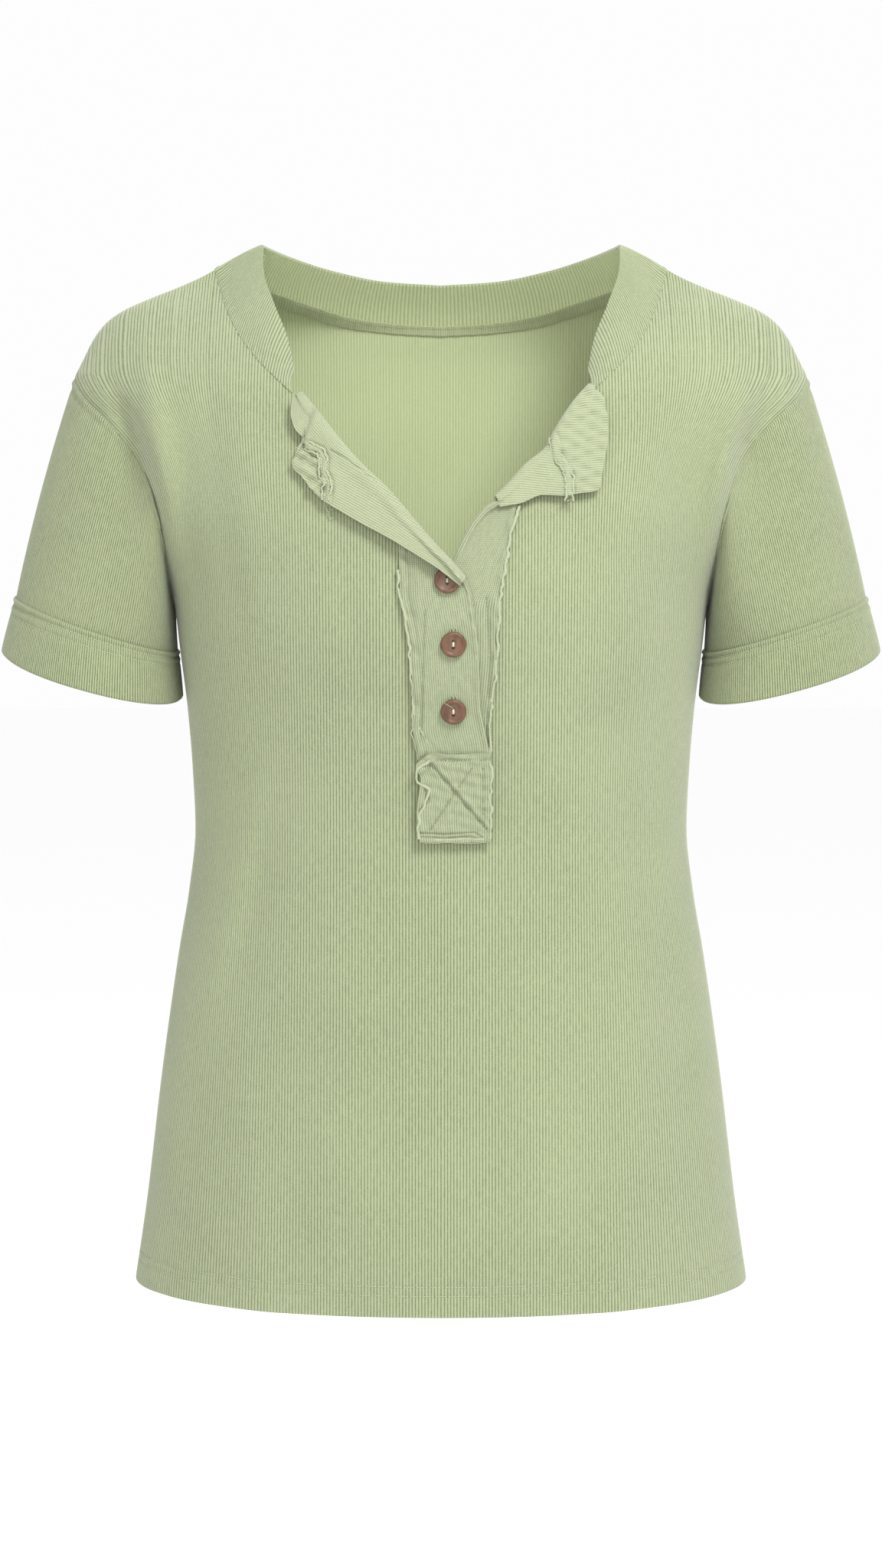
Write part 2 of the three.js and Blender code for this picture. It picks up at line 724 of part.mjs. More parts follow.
// Turned-back lapels, a row from the roll edge to the free edge: roll x, z, free x, z, extra lift
const lapelRight = [
  [31, -141.8, 33.5, -148.5, 0],
  [38, -135, 45, -146.5, 0],
  [48.7, -123.3, 58.5, -141.5, 0],
  [59.9, -114, 71, -142, 0.5],
  [64.9, -104.7, 78, -140.6, 0.5],
  [71.6, -93.9, 89.8, -138.4, 0.5],
  [76.6, -87, 93, -124, 0.5],
  [80.5, -82.5, 95.7, -108, 1],
  [83, -80, 95.5, -99, 1.5],
  [85, -78, 94, -87, 2],
];
const lapelLeft = [
  [14.2, -188, 10.5, -193.5, 4.6],
  [7.1, -179.5, -1.8, -184, 5.2],
  [-2, -170, -14, -176, 3.8],
  [-14.6, -155.8, -30, -166, 1.6],
  [-30, -137.8, -45, -158, 0.6],
  [-46.1, -122.6, -56, -151.5, 0],
  [-58, -109.3, -68.6, -143.7, 0],
  [-66, -99.4, -79.4, -131.3, 0],
  [-70, -94, -85.3, -124.2, 0],
  [-73.2, -90.2, -78.5, -111.3, 0.4],
  [-75.8, -87.2, -84, -103.7, 1],
  [-78, -84.6, -86.2, -95.2, 1.6],
  [-79.6, -82.6, -85.5, -87, 2],
];
const lapelWall = 1.5;
const rollStart = [
  [1.3, -0.6],
  [0.1, 0.8],
  [0, 3],
  [0.9, 4.9],
  [2.8, 6],
];

function lapelGrid(table) {
  const keyed = table.map((row, i) => [i / (table.length - 1), ...row]);
  const count = Math.round((table.length - 1) * 1.5);
  return spread(0, 1, count).concat(1).map((s) => {
    const [rx, rz, ex, ez, lift] = [1, 2, 3, 4, 5].map((k) => tableValue(keyed, s, k));
    const length = Math.hypot(ex - rx, ez - rz);
    const places = rollStart.map(([d, o]) => [d, o > 4 ? o + lift * (o - 4) * 0.5 : o]);
    [0.35, 0.65, 0.9, 1].forEach((part) => {
      const d = 2.8 + (length - 2.8) * part;
      places.push([d, 6 + lift - 0.6 * part]);
    });
    const base = s < 0.08 ? (2.6 * (0.08 - s)) / 0.08 : 0;
    return places.map(([d, o]) => [d, o < 4 ? o + base * (1 - o / 4) : o]).map(([d, o]) => onFront(rx + ((ex - rx) * d) / length, rz + ((ez - rz) * d) / length, o));
  });
}

function joined(parts, name) {
  let solid = toSolid(parts[0]);
  parts.slice(1).forEach((part) => { solid = solid.add(toSolid(part)); });
  return fromSolid(solid, name, cloth);
}

const underGrid = stripGrid(underStrip, underStripTop, 4, 18, 2, () => layer);
const upperLift = (x) => layer + layer * Math.min(1, Math.max(0, (x + 19.5) / 6.5));
const upperGrid = stripGrid(upperStrip, upperStripTop, 6, 12, 4, upperLift);
const underFlat = shell(underGrid, stripWall, 1, false, 'flat', cloth);
const upperFlat = shell(upperGrid, stripWall, 1, false, 'flat', cloth);
const rightTurn = shell(lapelGrid(lapelRight), lapelWall, -1, false, 'turn', cloth);
const leftTurn = shell(lapelGrid(lapelLeft), lapelWall, 1, false, 'turn', cloth);
group.add(joined([underFlat, rightTurn], 'placket_under'));
group.add(joined([upperFlat, leftTurn], 'placket_upper'));

// Patch at the foot of the strips
const boxPatch = [
  [-343, -12, 28.6],
  [-325.5, -13.9, 29],
  [-311, -12.3, 29.1],
  [-305.5, -11.6, 29],
  [-297, -14.4, 28.6],
  [-290.5, -8, 27.6],
];
const boxTop = [
  [0, -7, -290],
  [1, 27.4, -290],
];
const boxGrid = stripGrid(boxPatch, boxTop, 4, 6, 1, () => layer * 3);
group.add(shell(boxGrid, stripWall, 1, false, 'placket_box', cloth));

// Buttons: place across, height
const buttonPlaces = [
  [3.5, -190.2],
  [7.1, -226],
  [7.1, -264.8],
];
const buttonProfile = [
  [0, 0],
  [5.6, 0],
  [7.1, 0.7],
  [buttonRadius, 1.5],
  [6.4, buttonThick],
  [4.6, 2.05],
  [0, 1.95],
];
const disc = wasm.Manifold.revolve([buttonProfile], 22);
const drill = wasm.Manifold.cylinder(6, buttonHole, buttonHole, 8).translate([0, 0, -1]);
const buttonSolid = disc
  .subtract(drill.translate([0, buttonHolePitch / 2, 0]))
  .subtract(drill.translate([0, -buttonHolePitch / 2, 0]));
buttonPlaces.forEach(([x, z], i) => {
  const foot = onFront(x, z, layer * 2 + layerGap);
  const up = onFront(x, z + 6, 0).sub(onFront(x, z - 6, 0));
  const tilt = (Math.atan2(up.y, up.z) * -180) / Math.PI;
  const placed = buttonSolid.rotate([90 + tilt, 0, 0]).translate([foot.x, foot.y, foot.z]);
  group.add(fromSolid(placed, `button_${i + 1}`, buttonLook));
});

export default group;
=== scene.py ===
import math
import bpy
import numpy as np
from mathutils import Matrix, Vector


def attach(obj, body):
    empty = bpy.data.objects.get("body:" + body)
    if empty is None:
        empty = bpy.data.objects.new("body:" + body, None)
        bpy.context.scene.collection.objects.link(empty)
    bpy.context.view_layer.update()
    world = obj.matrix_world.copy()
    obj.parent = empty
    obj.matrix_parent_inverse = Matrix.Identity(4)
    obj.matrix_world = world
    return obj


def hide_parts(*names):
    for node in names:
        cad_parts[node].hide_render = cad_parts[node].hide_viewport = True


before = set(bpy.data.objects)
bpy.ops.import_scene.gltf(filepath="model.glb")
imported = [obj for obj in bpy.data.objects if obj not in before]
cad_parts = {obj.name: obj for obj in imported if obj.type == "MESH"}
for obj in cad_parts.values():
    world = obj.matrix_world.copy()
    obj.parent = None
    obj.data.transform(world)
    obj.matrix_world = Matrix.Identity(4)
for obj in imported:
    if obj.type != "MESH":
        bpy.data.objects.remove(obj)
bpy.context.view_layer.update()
rng = np.random.default_rng(7)
join = np.concatenate
print("frame loaded")

# Forms are worked out in millimetres and written to the meshes in metres
hemZ, splitZ, underarmZ, pointZ = -622, -224, -203, -70
neckTop, neckSide = -4, 137  # where the neck meets the shoulder seam
lowSpan = splitZ - hemZ
ringPower, ringPowerSleeve = 2.1, 2.2  # roundness of the rings, 2 for an ellipse
armPoint, neckPoint, neckEnd = 0.985, 0.62, 0.385  # rib shares at the seam's ends and the neck's front end
rightAngle = math.pi / 2
blendFrom, blendOver = -180, 100  # from here up, ribs turn from the chest's spread to the shoulder's

bodyRings = [  # height, half width, depth in front, depth behind
    (-622, 189, 118, 112), (-572, 181.5, 115, 109), (-495, 172, 108, 104), (-419, 161, 101, 97),
    (-381, 154.5, 98.5, 94), (-343, 150.5, 98, 92.5), (-306, 152, 101, 94), (-268, 155, 108, 99),
    (-235, 159, 115, 105), (-203, 163, 118, 109), (-165, 178.5, 115, 111), (-137, 193, 110, 110.5),
    (-116, 205, 104.5, 109.5), (-98, 216, 98.5, 108), (-80, 223, 91, 106.5), (-70, 222.5, 84, 105),
    (-63, 219.5, 77.5, 104), (-56, 216, 70, 102.5), (-49, 212.6, 62, 101), (-42, 208.2, 54, 98.5),
    (-35, 202, 45, 97), (-28, 191.5, 36, 92), (-21.4, 176.6, 26, 84), (-14.5, 159, 16, 75),
    (-7.6, 143.5, 7, 58), (-4, 137, 0, 0),
]
frontArmhole = [  # rib share, height, place across
    (1, -203, 163), (0.99458, -193, 164.5), (0.99042, -172, 165.5), (0.98817, -150, 168.5),
    (0.98708, -133, 173.5), (0.9865, -116, 182), (0.986, -98, 197), (0.9855, -80, 216),
    (0.985, -70, 222.5),
]
backArmhole = [
    (1, -203, 163), (0.99417, -192, 164.5), (0.98958, -166, 165), (0.9875, -140, 169.5),
    (0.9865, -114, 183), (0.986, -94, 201), (0.9855, -79, 217), (0.985, -70, 222.5),
]
shoulderSeam = [
    (0.985, -70, 222.5), (0.962, -56, 216), (0.932, -42, 208.2), (0.884, -31, 196.5),
    (0.798, -21.4, 176.6), (0.697, -12.2, 153.6), (0.62, -4, 137),
]
frontNeck = [
    (0.62, -4, 137), (0.603, -13, 134), (0.585, -25, 130), (0.55, -44, 120.5), (0.5, -60, 108.5),
    (0.445, -71, 97.5), (0.385, -81, 87),
]
backNeck = [
    (0.62, -4, 137), (0.59, -7.6, 124), (0.5, -14, 102), (0.42, -19.5, 84), (0.28, -27, 57),
    (0.14, -31, 28), (0.0, -32.5, 0),
]
openingRight = [  # place across, height
    (87, -81), (79, -86.5), (74, -95), (67, -106), (61.5, -116.5), (50, -127), (39, -138.5), (32, -146),
    (24.5, -165), (15, -186), (13.2, -193),
]
openingLeft = [
    (-87, -81), (-80, -88), (-73, -96), (-65.5, -105.5), (-57, -115.5), (-47.5, -126), (-37, -135.5),
    (-26, -146.5), (-16, -159), (-7.5, -169), (5, -182.5), (11.8, -193),
]
bodyFolds = [  # side, place across, height, half width, half length, lean, size
    (-1, -168, -150, 13, 60, -0.12, 2.6), (-1, 168, -150, 13, 60, 0.12, 2.6),
    (-1, -112, -545, 16, 120, -0.1, 2.4), (-1, 108, -540, 16, 120, 0.1, 2.2),
    (-1, 60, -300, 14, 70, -0.5, 1.2), (1, -80, -520, 18, 110, -0.08, 2.4),
    (1, 84, -510, 18, 110, 0.08, 2.4), (1, -150, -160, 14, 60, -0.2, 2.2),
    (1, 150, -160, 14, 60, 0.2, 2.2),
]

def smoothTable(rows, key, column):  # monotone curve through one column of a table
    rows = np.asarray(rows, float)
    if rows[0, 0] > rows[-1, 0]:
        rows = rows[::-1]
    x, y = rows[:, 0], rows[:, column]
    slope = np.diff(y) / np.diff(x)
    tangent = np.zeros(len(x))
    tangent[0], tangent[-1] = slope[0], slope[-1]
    both = slope[:-1] * slope[1:]
    total = slope[:-1] + slope[1:]
    tangent[1:-1] = np.where(both > 0, 2 * both / np.where(total == 0, 1, total), 0)
    key = np.clip(np.asarray(key, float), x[0], x[-1])
    k = np.clip(np.searchsorted(x, key, side="right") - 1, 0, len(x) - 2)
    width = x[k + 1] - x[k]
    s = (key - x[k]) / width
    a = (2 * s ** 3 - 3 * s ** 2 + 1) * y[k] + (s ** 3 - 2 * s ** 2 + s) * tangent[k] * width
    return a + (3 * s ** 2 - 2 * s ** 3) * y[k + 1] + (s ** 3 - s ** 2) * tangent[k + 1] * width


def ease(x):
    x = np.clip(x, 0, 1)
    return x * x * (3 - 2 * x)


def unit(v):
    return v / np.maximum(np.linalg.norm(v, axis=-1, keepdims=True), 1e-9)


def bell(x, half):
    return np.exp(-(x / half) ** 2)


def waves(x, z, rows):  # sum of sines: size, steps across and up, start
    return sum(size * np.sin(a * x + b * z + c) for size, a, b, c in rows)


def wayAlong(points):  # length passed at each point
    return join([[0], np.cumsum(np.linalg.norm(np.diff(points, axis=0), axis=1))])


def ringPoint(angle, z, side):
    angle, z = np.broadcast_arrays(np.asarray(angle, float), np.asarray(z, float))
    share = np.minimum(1, np.abs(np.sin(angle)))
    rest = np.maximum(0, np.cos(angle))
    x = smoothTable(bodyRings, z, 1) * share ** (2 / ringPower) * np.sign(angle)
    y = side * (smoothTable(bodyRings, z, 2 if side < 0 else 3) * rest ** (2 / ringPower) + 0.18)
    return np.stack([x, y, z], -1)


def angleAt(x, z):
    share = np.minimum(1, np.abs(x) / smoothTable(bodyRings, z, 1))
    return np.arcsin(np.minimum(1, share ** (ringPower / 2))) * np.sign(x)


def arcLengths(z, edge, side, steps=48):
    t = np.linspace(0, 1, steps + 1)
    points = ringPoint(edge[..., None] * t, np.asarray(z)[..., None] + 0 * t, side)
    parts = np.linalg.norm(np.diff(points, axis=-2), axis=-1)
    return join([np.zeros(parts.shape[:-1] + (1,)), np.cumsum(parts, -1)], -1)


def angleAtLength(lengths, wanted, edge):
    steps = lengths.shape[-1] - 1
    wanted = np.clip(wanted, 0, lengths[..., -1])
    k = np.clip((lengths <= wanted[..., None]).sum(-1) - 1, 0, steps - 1)
    low = np.take_along_axis(lengths, k[..., None], -1)[..., 0]
    high = np.take_along_axis(lengths, k[..., None] + 1, -1)[..., 0]
    return (k + (wanted - low) / np.maximum(high - low, 1e-9)) / steps * edge


chestLength = float(arcLengths(np.array(float(underarmZ)), np.array(rightAngle), -1)[-1])


def sideEdge(z, side):
    low, high = z <= underarmZ, z >= pointZ
    arm = frontArmhole if side < 0 else backArmhole
    armRows = [(b, a, c) for a, b, c in arm]
    shoulderRows = [(b, a, c) for a, b, c in shoulderSeam]
    share = np.where(low, 1, np.where(high, smoothTable(shoulderRows, z, 1), smoothTable(armRows, z, 1)))
    edge = np.where(low | high, rightAngle, angleAt(smoothTable(armRows, z, 2), z))
    return share, edge


def shoulderPlace(share):  # place across of a rib on the shoulder, where ribs stand at even steps across
    return np.where(share < neckPoint, share * neckSide / neckPoint, smoothTable(shoulderSeam, share, 2))


ringHeights = np.arange(hemZ, neckTop + 0.1, 0.5)


# Edge share, half length over share, and how far the edge lies from its shoulder place, with evened copies
def ringTable(side):
    share, edge = sideEdge(ringHeights, side)
    ratio = arcLengths(ringHeights, edge, side)[..., -1] / share
    off = ringPoint(edge, ringHeights, side)[..., 0] - shoulderPlace(share)
    weights = np.exp(-np.linspace(-2.5, 2.5, 141) ** 2 / 2)
    even = lambda values: np.convolve(np.pad(values, 70, mode="edge"), weights / weights.sum(), "valid")
    return share, ratio, even(ratio), off, even(off)


ringTables = {side: ringTable(side) for side in (-1, 1)}


def naturalAngle(u, z, side):  # ring angle of a rib: even round the chest, even across on the shoulder
    share, ratio, evenRatio, off, evenOff = (np.interp(z, ringHeights, t) for t in ringTables[side])
    size = np.abs(u)
    r = np.clip(size / share, 0, 1)
    edge = np.full(np.shape(z), rightAngle)
    near = ease((r - 0.8) / 0.2)
    ratio = evenRatio + (ratio - evenRatio) * near
    way = size * (chestLength + (ratio - chestLength) * ease((r - 0.3) / 0.7))
    low = angleAtLength(arcLengths(z, edge, side), way, edge)
    place = shoulderPlace(size) + (evenOff + (off - evenOff) * near) * ease((r - 0.5) / 0.5)
    high = angleAt(np.maximum(place, 0), z)
    return (low + (high - low) * ease((z - blendFrom) / blendOver)) * np.sign(u)


def ribShare(x, z, side):  # share of the rib that passes a place
    found = np.empty(len(x))
    for k, (px, pz) in enumerate(zip(x, z)):
        grid = np.linspace(0, float(np.interp(pz, ringHeights, ringTables[side][0])), 200)
        angles = naturalAngle(grid, np.full(200, pz), side)
        found[k] = np.interp(abs(angleAt(px, pz)), angles, grid) * (1 if px >= 0 else -1)
    return found


def along(rows, count, first, second):
    keys = np.linspace(rows[0][0], rows[-1][0], count)
    return smoothTable(rows, keys, first), smoothTable(rows, keys, second), keys


# Rib shares, heights and ring angles along the upper edge of a panel, from one underarm to the other
def topEdge(side):
    za, xa, ua = along(frontArmhole if side < 0 else backArmhole, 90, 1, 2)
    zs, _, us = along(shoulderSeam, 60, 1, 2)
    neck = frontNeck if side < 0 else backNeck
    keys = neckPoint + (neck[-1][0] - neckPoint) * np.linspace(0, 1, 120) ** 2
    zn, xn = smoothTable(neck, keys, 1), smoothTable(neck, keys, 2)
    un = np.minimum.accumulate(ribShare(xn, zn, side))
    un[0] = neckPoint
    half = [join(p) for p in ((ua, us[1:], un[1:]), (za, zs[1:], zn[1:]))]
    angle = join([angleAt(xa, za), np.full(59, rightAngle), angleAt(xn[1:], zn[1:])])
    angle[0] = rightAngle
    if side > 0:
        u, z, w = half[0], half[1], angle
        return join([-u, u[::-1][1:]]), join([z, z[::-1][1:]]), join([-w, w[::-1][1:]])
    parts = []
    for rows, sign in ((openingLeft, -1), (openingRight, 1)):
        keyed = [(i, x, z) for i, (x, z) in enumerate(rows)]
        xo, zo, _ = along(keyed, 50, 1, 2)
        uo = ribShare(xo, zo, side)
        u = join([sign * half[0], uo[1:]])
        z = join([half[1], zo[1:]])
        w = join([sign * angle, angleAt(xo, zo)[1:]])
        parts.append((u, z, w))
    return [join([parts[0][k], parts[1][k][::-1]]) for k in range(3)]


creases = [  # side, place across, height, half width, half length, lean, bend, size
    (-1, -164, -142, 9, 66, -0.13, 0.0000, 12.0), (-1, 165, -142, 9, 64, 0.14, 0.0000, 11.0),
    (-1, -184, -104, 8, 32, -0.42, 0.0000, -8.0), (-1, 186, -104, 8, 32, 0.42, 0.0000, -7.5),
    (-1, -132, -130, 9, 70, -0.10, 0.0003, -1.6), (-1, 136, -128, 9, 66, 0.12, -0.0003, -1.5),
    (-1, -112, -175, 10, 55, -0.12, 0.0002, 1.1), (-1, 112, -170, 11, 60, 0.10, 0.0000, 1.0),
    (-1, -112, -385, 12, 66, 0.22, 0.0006, -4.5), (-1, -130, -395, 10, 60, 0.24, 0.0005, 3.2),
    (-1, 118, -372, 12, 60, -0.26, 0.0005, -3.2), (-1, -62, -470, 16, 110, 0.10, 0.0002, 1.3),
    (-1, -30, -520, 15, 90, 0.05, 0.0001, -1.2), (-1, 52, -500, 18, 110, -0.07, 0.0001, 1.2),
    (-1, 148, -505, 12, 80, -0.12, 0.0003, -2.2), (-1, -150, -520, 12, 70, 0.12, 0.0003, -2.2),
    (-1, 84, -560, 12, 60, -0.06, 0.0000, -1.2), (-1, -168, -600, 8, 28, 0.10, 0.0000, -2.6),
    (-1, 172, -602, 8, 26, -0.10, 0.0000, -2.4), (-1, 12, -400, 26, 60, 0.0, 0.0000, 1.0),
    (-1, -52, -215, 9, 60, -0.20, 0.0004, -0.8), (-1, 62, -235, 10, 60, 0.16, 0.0004, -0.9),
    (1, -150, -120, 11, 66, -0.18, 0.0006, 5.0), (1, 151, -124, 11, 62, 0.18, -0.0006, 5.0),
    (1, -112, -200, 12, 80, -0.12, 0.0003, -2.2), (1, 116, -205, 12, 78, 0.12, -0.0003, -2.2),
    (1, -46, -300, 15, 90, 0.10, 0.0003, 1.8), (1, 30, -330, 14, 85, -0.08, 0.0003, -1.8),
    (1, 88, -360, 12, 60, -0.22, 0.0004, 2.2), (1, -96, -380, 12, 62, 0.24, 0.0004, -2.4),
    (1, -20, -500, 16, 110, 0.05, 0.0002, 1.8), (1, 46, -540, 15, 90, -0.05, 0.0002, -1.6),
    (1, -150, -520, 13, 80, 0.12, 0.0002, -2.4), (1, 148, -510, 13, 80, -0.12, 0.0002, -2.4),
]


def foldLift(x, z, side):
    lift = 0
    for where, x0, z0, halfX, halfZ, lean, size in bodyFolds:
        if where == side:
            lift = lift + size * np.exp(-((x - x0 - lean * (z - z0)) / halfX) ** 2 - ((z - z0) / halfZ) ** 2)
    for k, (where, x0, z0, halfX, halfZ, lean, bend, size) in enumerate(creases):
        if where == side:
            up = z - z0
            across = (x - x0 - lean * up - bend * up * up) / (halfX * (1 + 0.18 * np.sin(up / 19 + 2.1 * k)))
            uneven = 1 + 0.22 * np.sin(up / 23 + 1.3 * k) + 0.12 * np.sin(up / 9 + 0.7 * k)
            lift = lift + size * uneven * np.exp(-across ** 2 - (up / halfZ) ** 2)
    return lift


def bodySurface(angle, z, side):
    point = ringPoint(angle, z, side)
    rim = np.maximum(0, np.cos(angle)) ** 0.5
    point[..., 1] += side * foldLift(point[..., 0], z, side) * rim
    return point


def bodyNormal(angle, z, side):
    hi, lo = np.minimum(rightAngle, angle + 0.01), np.maximum(-rightAngle, angle - 0.01)
    across = bodySurface(hi, z, side) - bodySurface(lo, z, side)
    up = bodySurface(angle, np.minimum(neckTop, z + 0.3), side) - bodySurface(angle, z - 0.3, side)
    return unit(np.cross(across, up) * -side)


def onFront(x, z, lift=0):  # points above the outside of the front at places across and heights
    x, z = np.asarray(x, float), np.asarray(z, float)
    angle = angleAt(x, z)
    return bodySurface(angle, z, -1) + bodyNormal(angle, z, -1) * np.asarray(lift, float)[..., None]


def gridNormals(grid, sign, wrap=False):
    if wrap:
        across = np.roll(grid, -1, 0) - np.roll(grid, 1, 0)
    else:
        across = np.gradient(grid, axis=0)
    return unit(np.cross(across, np.gradient(grid, axis=1)) * sign)


def quads(columns, rows, offset, flip, wrap=False):
    spans = columns if wrap else columns - 1
    i, j = np.meshgrid(np.arange(spans), np.arange(rows - 1), indexing="ij")
    n = (i + 1) % columns
    a, b, c, d = i * rows + j, n * rows + j, n * rows + j + 1, i * rows + j + 1
    order = (a, d, c, b) if flip else (a, b, c, d)
    return np.stack([o.ravel() for o in order], 1) + offset


def newObject(name, data):
    obj = bpy.data.objects.new(name, data)
    bpy.context.scene.collection.objects.link(obj)
    return obj


def makeMesh(name, points, faces, uvs, materials, slots):
    mesh = bpy.data.meshes.new(name)
    mesh.from_pydata((points / 1000).tolist(), [], faces.tolist())
    layer = mesh.uv_layers.new(name="UVMap")
    index = np.empty(len(mesh.loops), int)
    mesh.loops.foreach_get("vertex_index", index)
    layer.data.foreach_set("uv", (uvs[index] / 1000).ravel())
    for m in materials:
        mesh.materials.append(m)
    mesh.polygons.foreach_set("material_index", slots)
    mesh.polygons.foreach_set("use_smooth", [True] * len(faces))
    mesh.update()
    return newObject(name, mesh)


# Outer grid moved along its normals by lift, an inner grid one wall behind it, and the rims between
def clothShell(name, base, out, lift, wall, uv, sign, looks, inner=(3, 2), wrap=False):
    columns, rows = base.shape[:2]
    outer, back = base + out * lift[..., None], base - out * wall
    ci, ri = np.arange(0, columns, inner[0]), np.arange(0, rows, inner[1])
    ci = ci if wrap else np.unique(np.append(ci, columns - 1))
    chosen = np.ix_(ci, np.unique(np.append(ri, rows - 1)))
    count = chosen[1].size
    pointList = [outer.reshape(-1, 3), back[chosen].reshape(-1, 3)]
    uvList = [uv.reshape(-1, 2), uv[chosen].reshape(-1, 2)]
    faceList = [quads(columns, rows, 0, sign < 0, wrap)]
    faceList.append(quads(len(ci), count, columns * rows, sign > 0, wrap))
    slotList = [np.zeros(len(faceList[0]), int), np.ones(len(faceList[1]), int)]
    offset = columns * rows + len(ci) * count
    rims = [(outer[:, k], back[:, k], uv[:, k], (sign > 0) == (k == 0), wrap) for k in (0, -1)]
    if not wrap:
        rims += [(outer[k], back[k], uv[k], (sign < 0) == (k == 0), False) for k in (0, -1)]
    for top, low, place, flip, ring in rims:
        n = len(top)
        pointList += [top, low]
        uvList += [place, place]
        i = np.arange(n if ring else n - 1)
        k = (i + 1) % n
        order = (i, i + n, k + n, k) if flip else (i, k, k + n, i + n)
        faceList.append(np.stack(order, 1) + offset)
        slotList.append(np.zeros(len(i), int))
        offset += 2 * n
    return makeMesh(name, join(pointList), join(faceList), join(uvList), looks, join(slotList))


def ribWave(phase):  # cross-section of a rib, 0 in the groove and 1 on its back
    return np.abs(np.sin(np.pi * phase)) ** 0.8
def tube(name, points, radius, material, sides=6):  # round thread or roll along points
    points = np.asarray(points, float)
    radius = np.broadcast_to(np.asarray(radius, float), (len(points),))
    tangent = unit(np.gradient(points, axis=0))
    helper = np.where(np.abs(tangent[:, 1:2]) > 0.9, [[1.0, 0, 0]], [[0, 1.0, 0]])
    a = unit(np.cross(tangent, helper))
    b = np.cross(tangent, a)
    turn = np.linspace(0, 2 * np.pi, sides, endpoint=False)
    spoke = np.cos(turn)[:, None, None] * a + np.sin(turn)[:, None, None] * b
    grid = points + radius[:, None] * spoke
    uv = np.stack(np.broadcast_arrays((turn * radius.mean())[:, None], wayAlong(points)), -1)
    faces = quads(sides, len(points), 0, True, True)
    slots = np.zeros(len(faces), int)
    return makeMesh(name, grid.reshape(-1, 3), faces, uv.reshape(-1, 2), [material], slots)
def srgb(r, g, b):
    return tuple(((c / 255 + 0.055) / 1.055) ** 2.4 if c > 10 else c / 255 / 12.92 for c in (r, g, b)) + (1,)


class Socket:  # a node output that shader maths can be written with
    def __init__(self, tree, out):
        self.tree, self.out = tree, out

    def maths(self, kind, *others, clamp=False):
        node = self.tree.nodes.new("ShaderNodeMath")
        node.operation, node.use_clamp = kind, clamp
        for slot, value in zip(node.inputs, (self, *others)):
            if isinstance(value, Socket):
                self.tree.links.new(value.out, slot)
            else:
                slot.default_value = value
        return Socket(self.tree, node.outputs[0])

    def __add__(self, other):
        return self.maths("ADD", other)

    def __sub__(self, other):
        return self.maths("SUBTRACT", other)

    def __mul__(self, other):
        return self.maths("MULTIPLY", other)

    def __truediv__(self, other):
        return self.maths("DIVIDE", other)

    def __rsub__(self, other):
        return (self * -1) + other

    __radd__ = __add__
    __rmul__ = __mul__


class Look:  # a material under construction
    def __init__(self, name, **values):
        self.material = bpy.data.materials.new(name)
        self.material.use_nodes = True
        self.tree = self.material.node_tree
        self.shader = self.tree.nodes["Principled BSDF"]
        for key, value in values.items():
            self.shader.inputs[key].default_value = value

    def node(self, kind, settings=None, **sockets):
        node = self.tree.nodes.new(kind)
        for key, value in (settings or {}).items():
            setattr(node, key, value)
        for key, value in sockets.items():
            slot = node.inputs[int(key[1:])] if key[0] == "i" and key[1:].isdigit() else node.inputs[key]
            if isinstance(value, Socket):
                self.tree.links.new(value.out, slot)
            else:
                slot.default_value = value
        return node

    def socket(self, node, output=0):
        return Socket(self.tree, node.outputs[output])

    def mix(self, factor, a, b):
        node = self.node("ShaderNodeMix", {"data_type": "RGBA"}, i0=factor, i6=a, i7=b)
        return self.socket(node, 2)

    def link(self, socket, name):
        self.tree.links.new(socket.out, self.shader.inputs[name])

    def uv(self):
        place = self.socket(self.node("ShaderNodeUVMap", {"uv_map": "UVMap"}))
        separate = self.node("ShaderNodeSeparateXYZ", None, Vector=place)
        return self.socket(separate, 0), self.socket(separate, 1)

    def noise(self, vector, scale, detail=2.0, roughness=0.5):
        values = {"Vector": vector, "Scale": scale, "Detail": detail, "Roughness": roughness}
        return self.socket(self.node("ShaderNodeTexNoise", None, **values))


cloth = {"Roughness": 0.95, "Sheen Weight": 0.2, "Sheen Roughness": 0.6, "Specular IOR Level": 0.15}


# U runs across the ribs and V along them, in metres; the pitch of the ribs is in millimetres
def knit(name, pitch, ridge, groove, bumpRibs=0.0, weave=0.16):
    look = Look(name, **cloth)
    u, v = look.uv()
    phase = (u / (pitch / 1000)).maths("FRACT")
    wave = (phase * math.pi).maths("SINE")
    spot = look.socket(look.node("ShaderNodeTexCoord"), 3)
    patch = look.noise(spot, 16.0, 3.0)
    along = look.socket(look.node("ShaderNodeCombineXYZ", None, X=u * 520, Y=v * 170, Z=0.0))
    streak = look.noise(along, 1.0, 3.0, 0.6)
    grain = look.noise(spot, 1100.0, 2.0)
    slant = v / 0.0011 + (phase - 0.5).maths("ABSOLUTE") * 1.1
    loops = (slant * (2 * math.pi)).maths("SINE") * 0.5 + 0.5
    # The groove colour is painted shade in the rib valleys, mixed in by rib phase; streaks, patches and loops
    # add random tone
    depth = wave * 1.5 - 0.32 + (streak - 0.5) * 1.1 + (patch - 0.5) * 0.5 + (loops - 0.5) * weave
    colour = look.mix(depth.maths("ADD", 0.0, clamp=True), srgb(*groove), srgb(*ridge))
    pale = tuple(min(255, c + 16) for c in ridge)
    colour = look.mix(((grain - 0.5) * 2.2).maths("ADD", 0.0, clamp=True) * 0.5, colour, srgb(*pale))
    look.link(colour, "Base Color")
    height = wave * bumpRibs + loops * 0.00007 + streak * 0.00012 + grain * 0.00006
    bump = look.node("ShaderNodeBump", None, Height=height, Distance=1.0, Strength=0.8)
    look.link(look.socket(bump), "Normal")
    return look.material


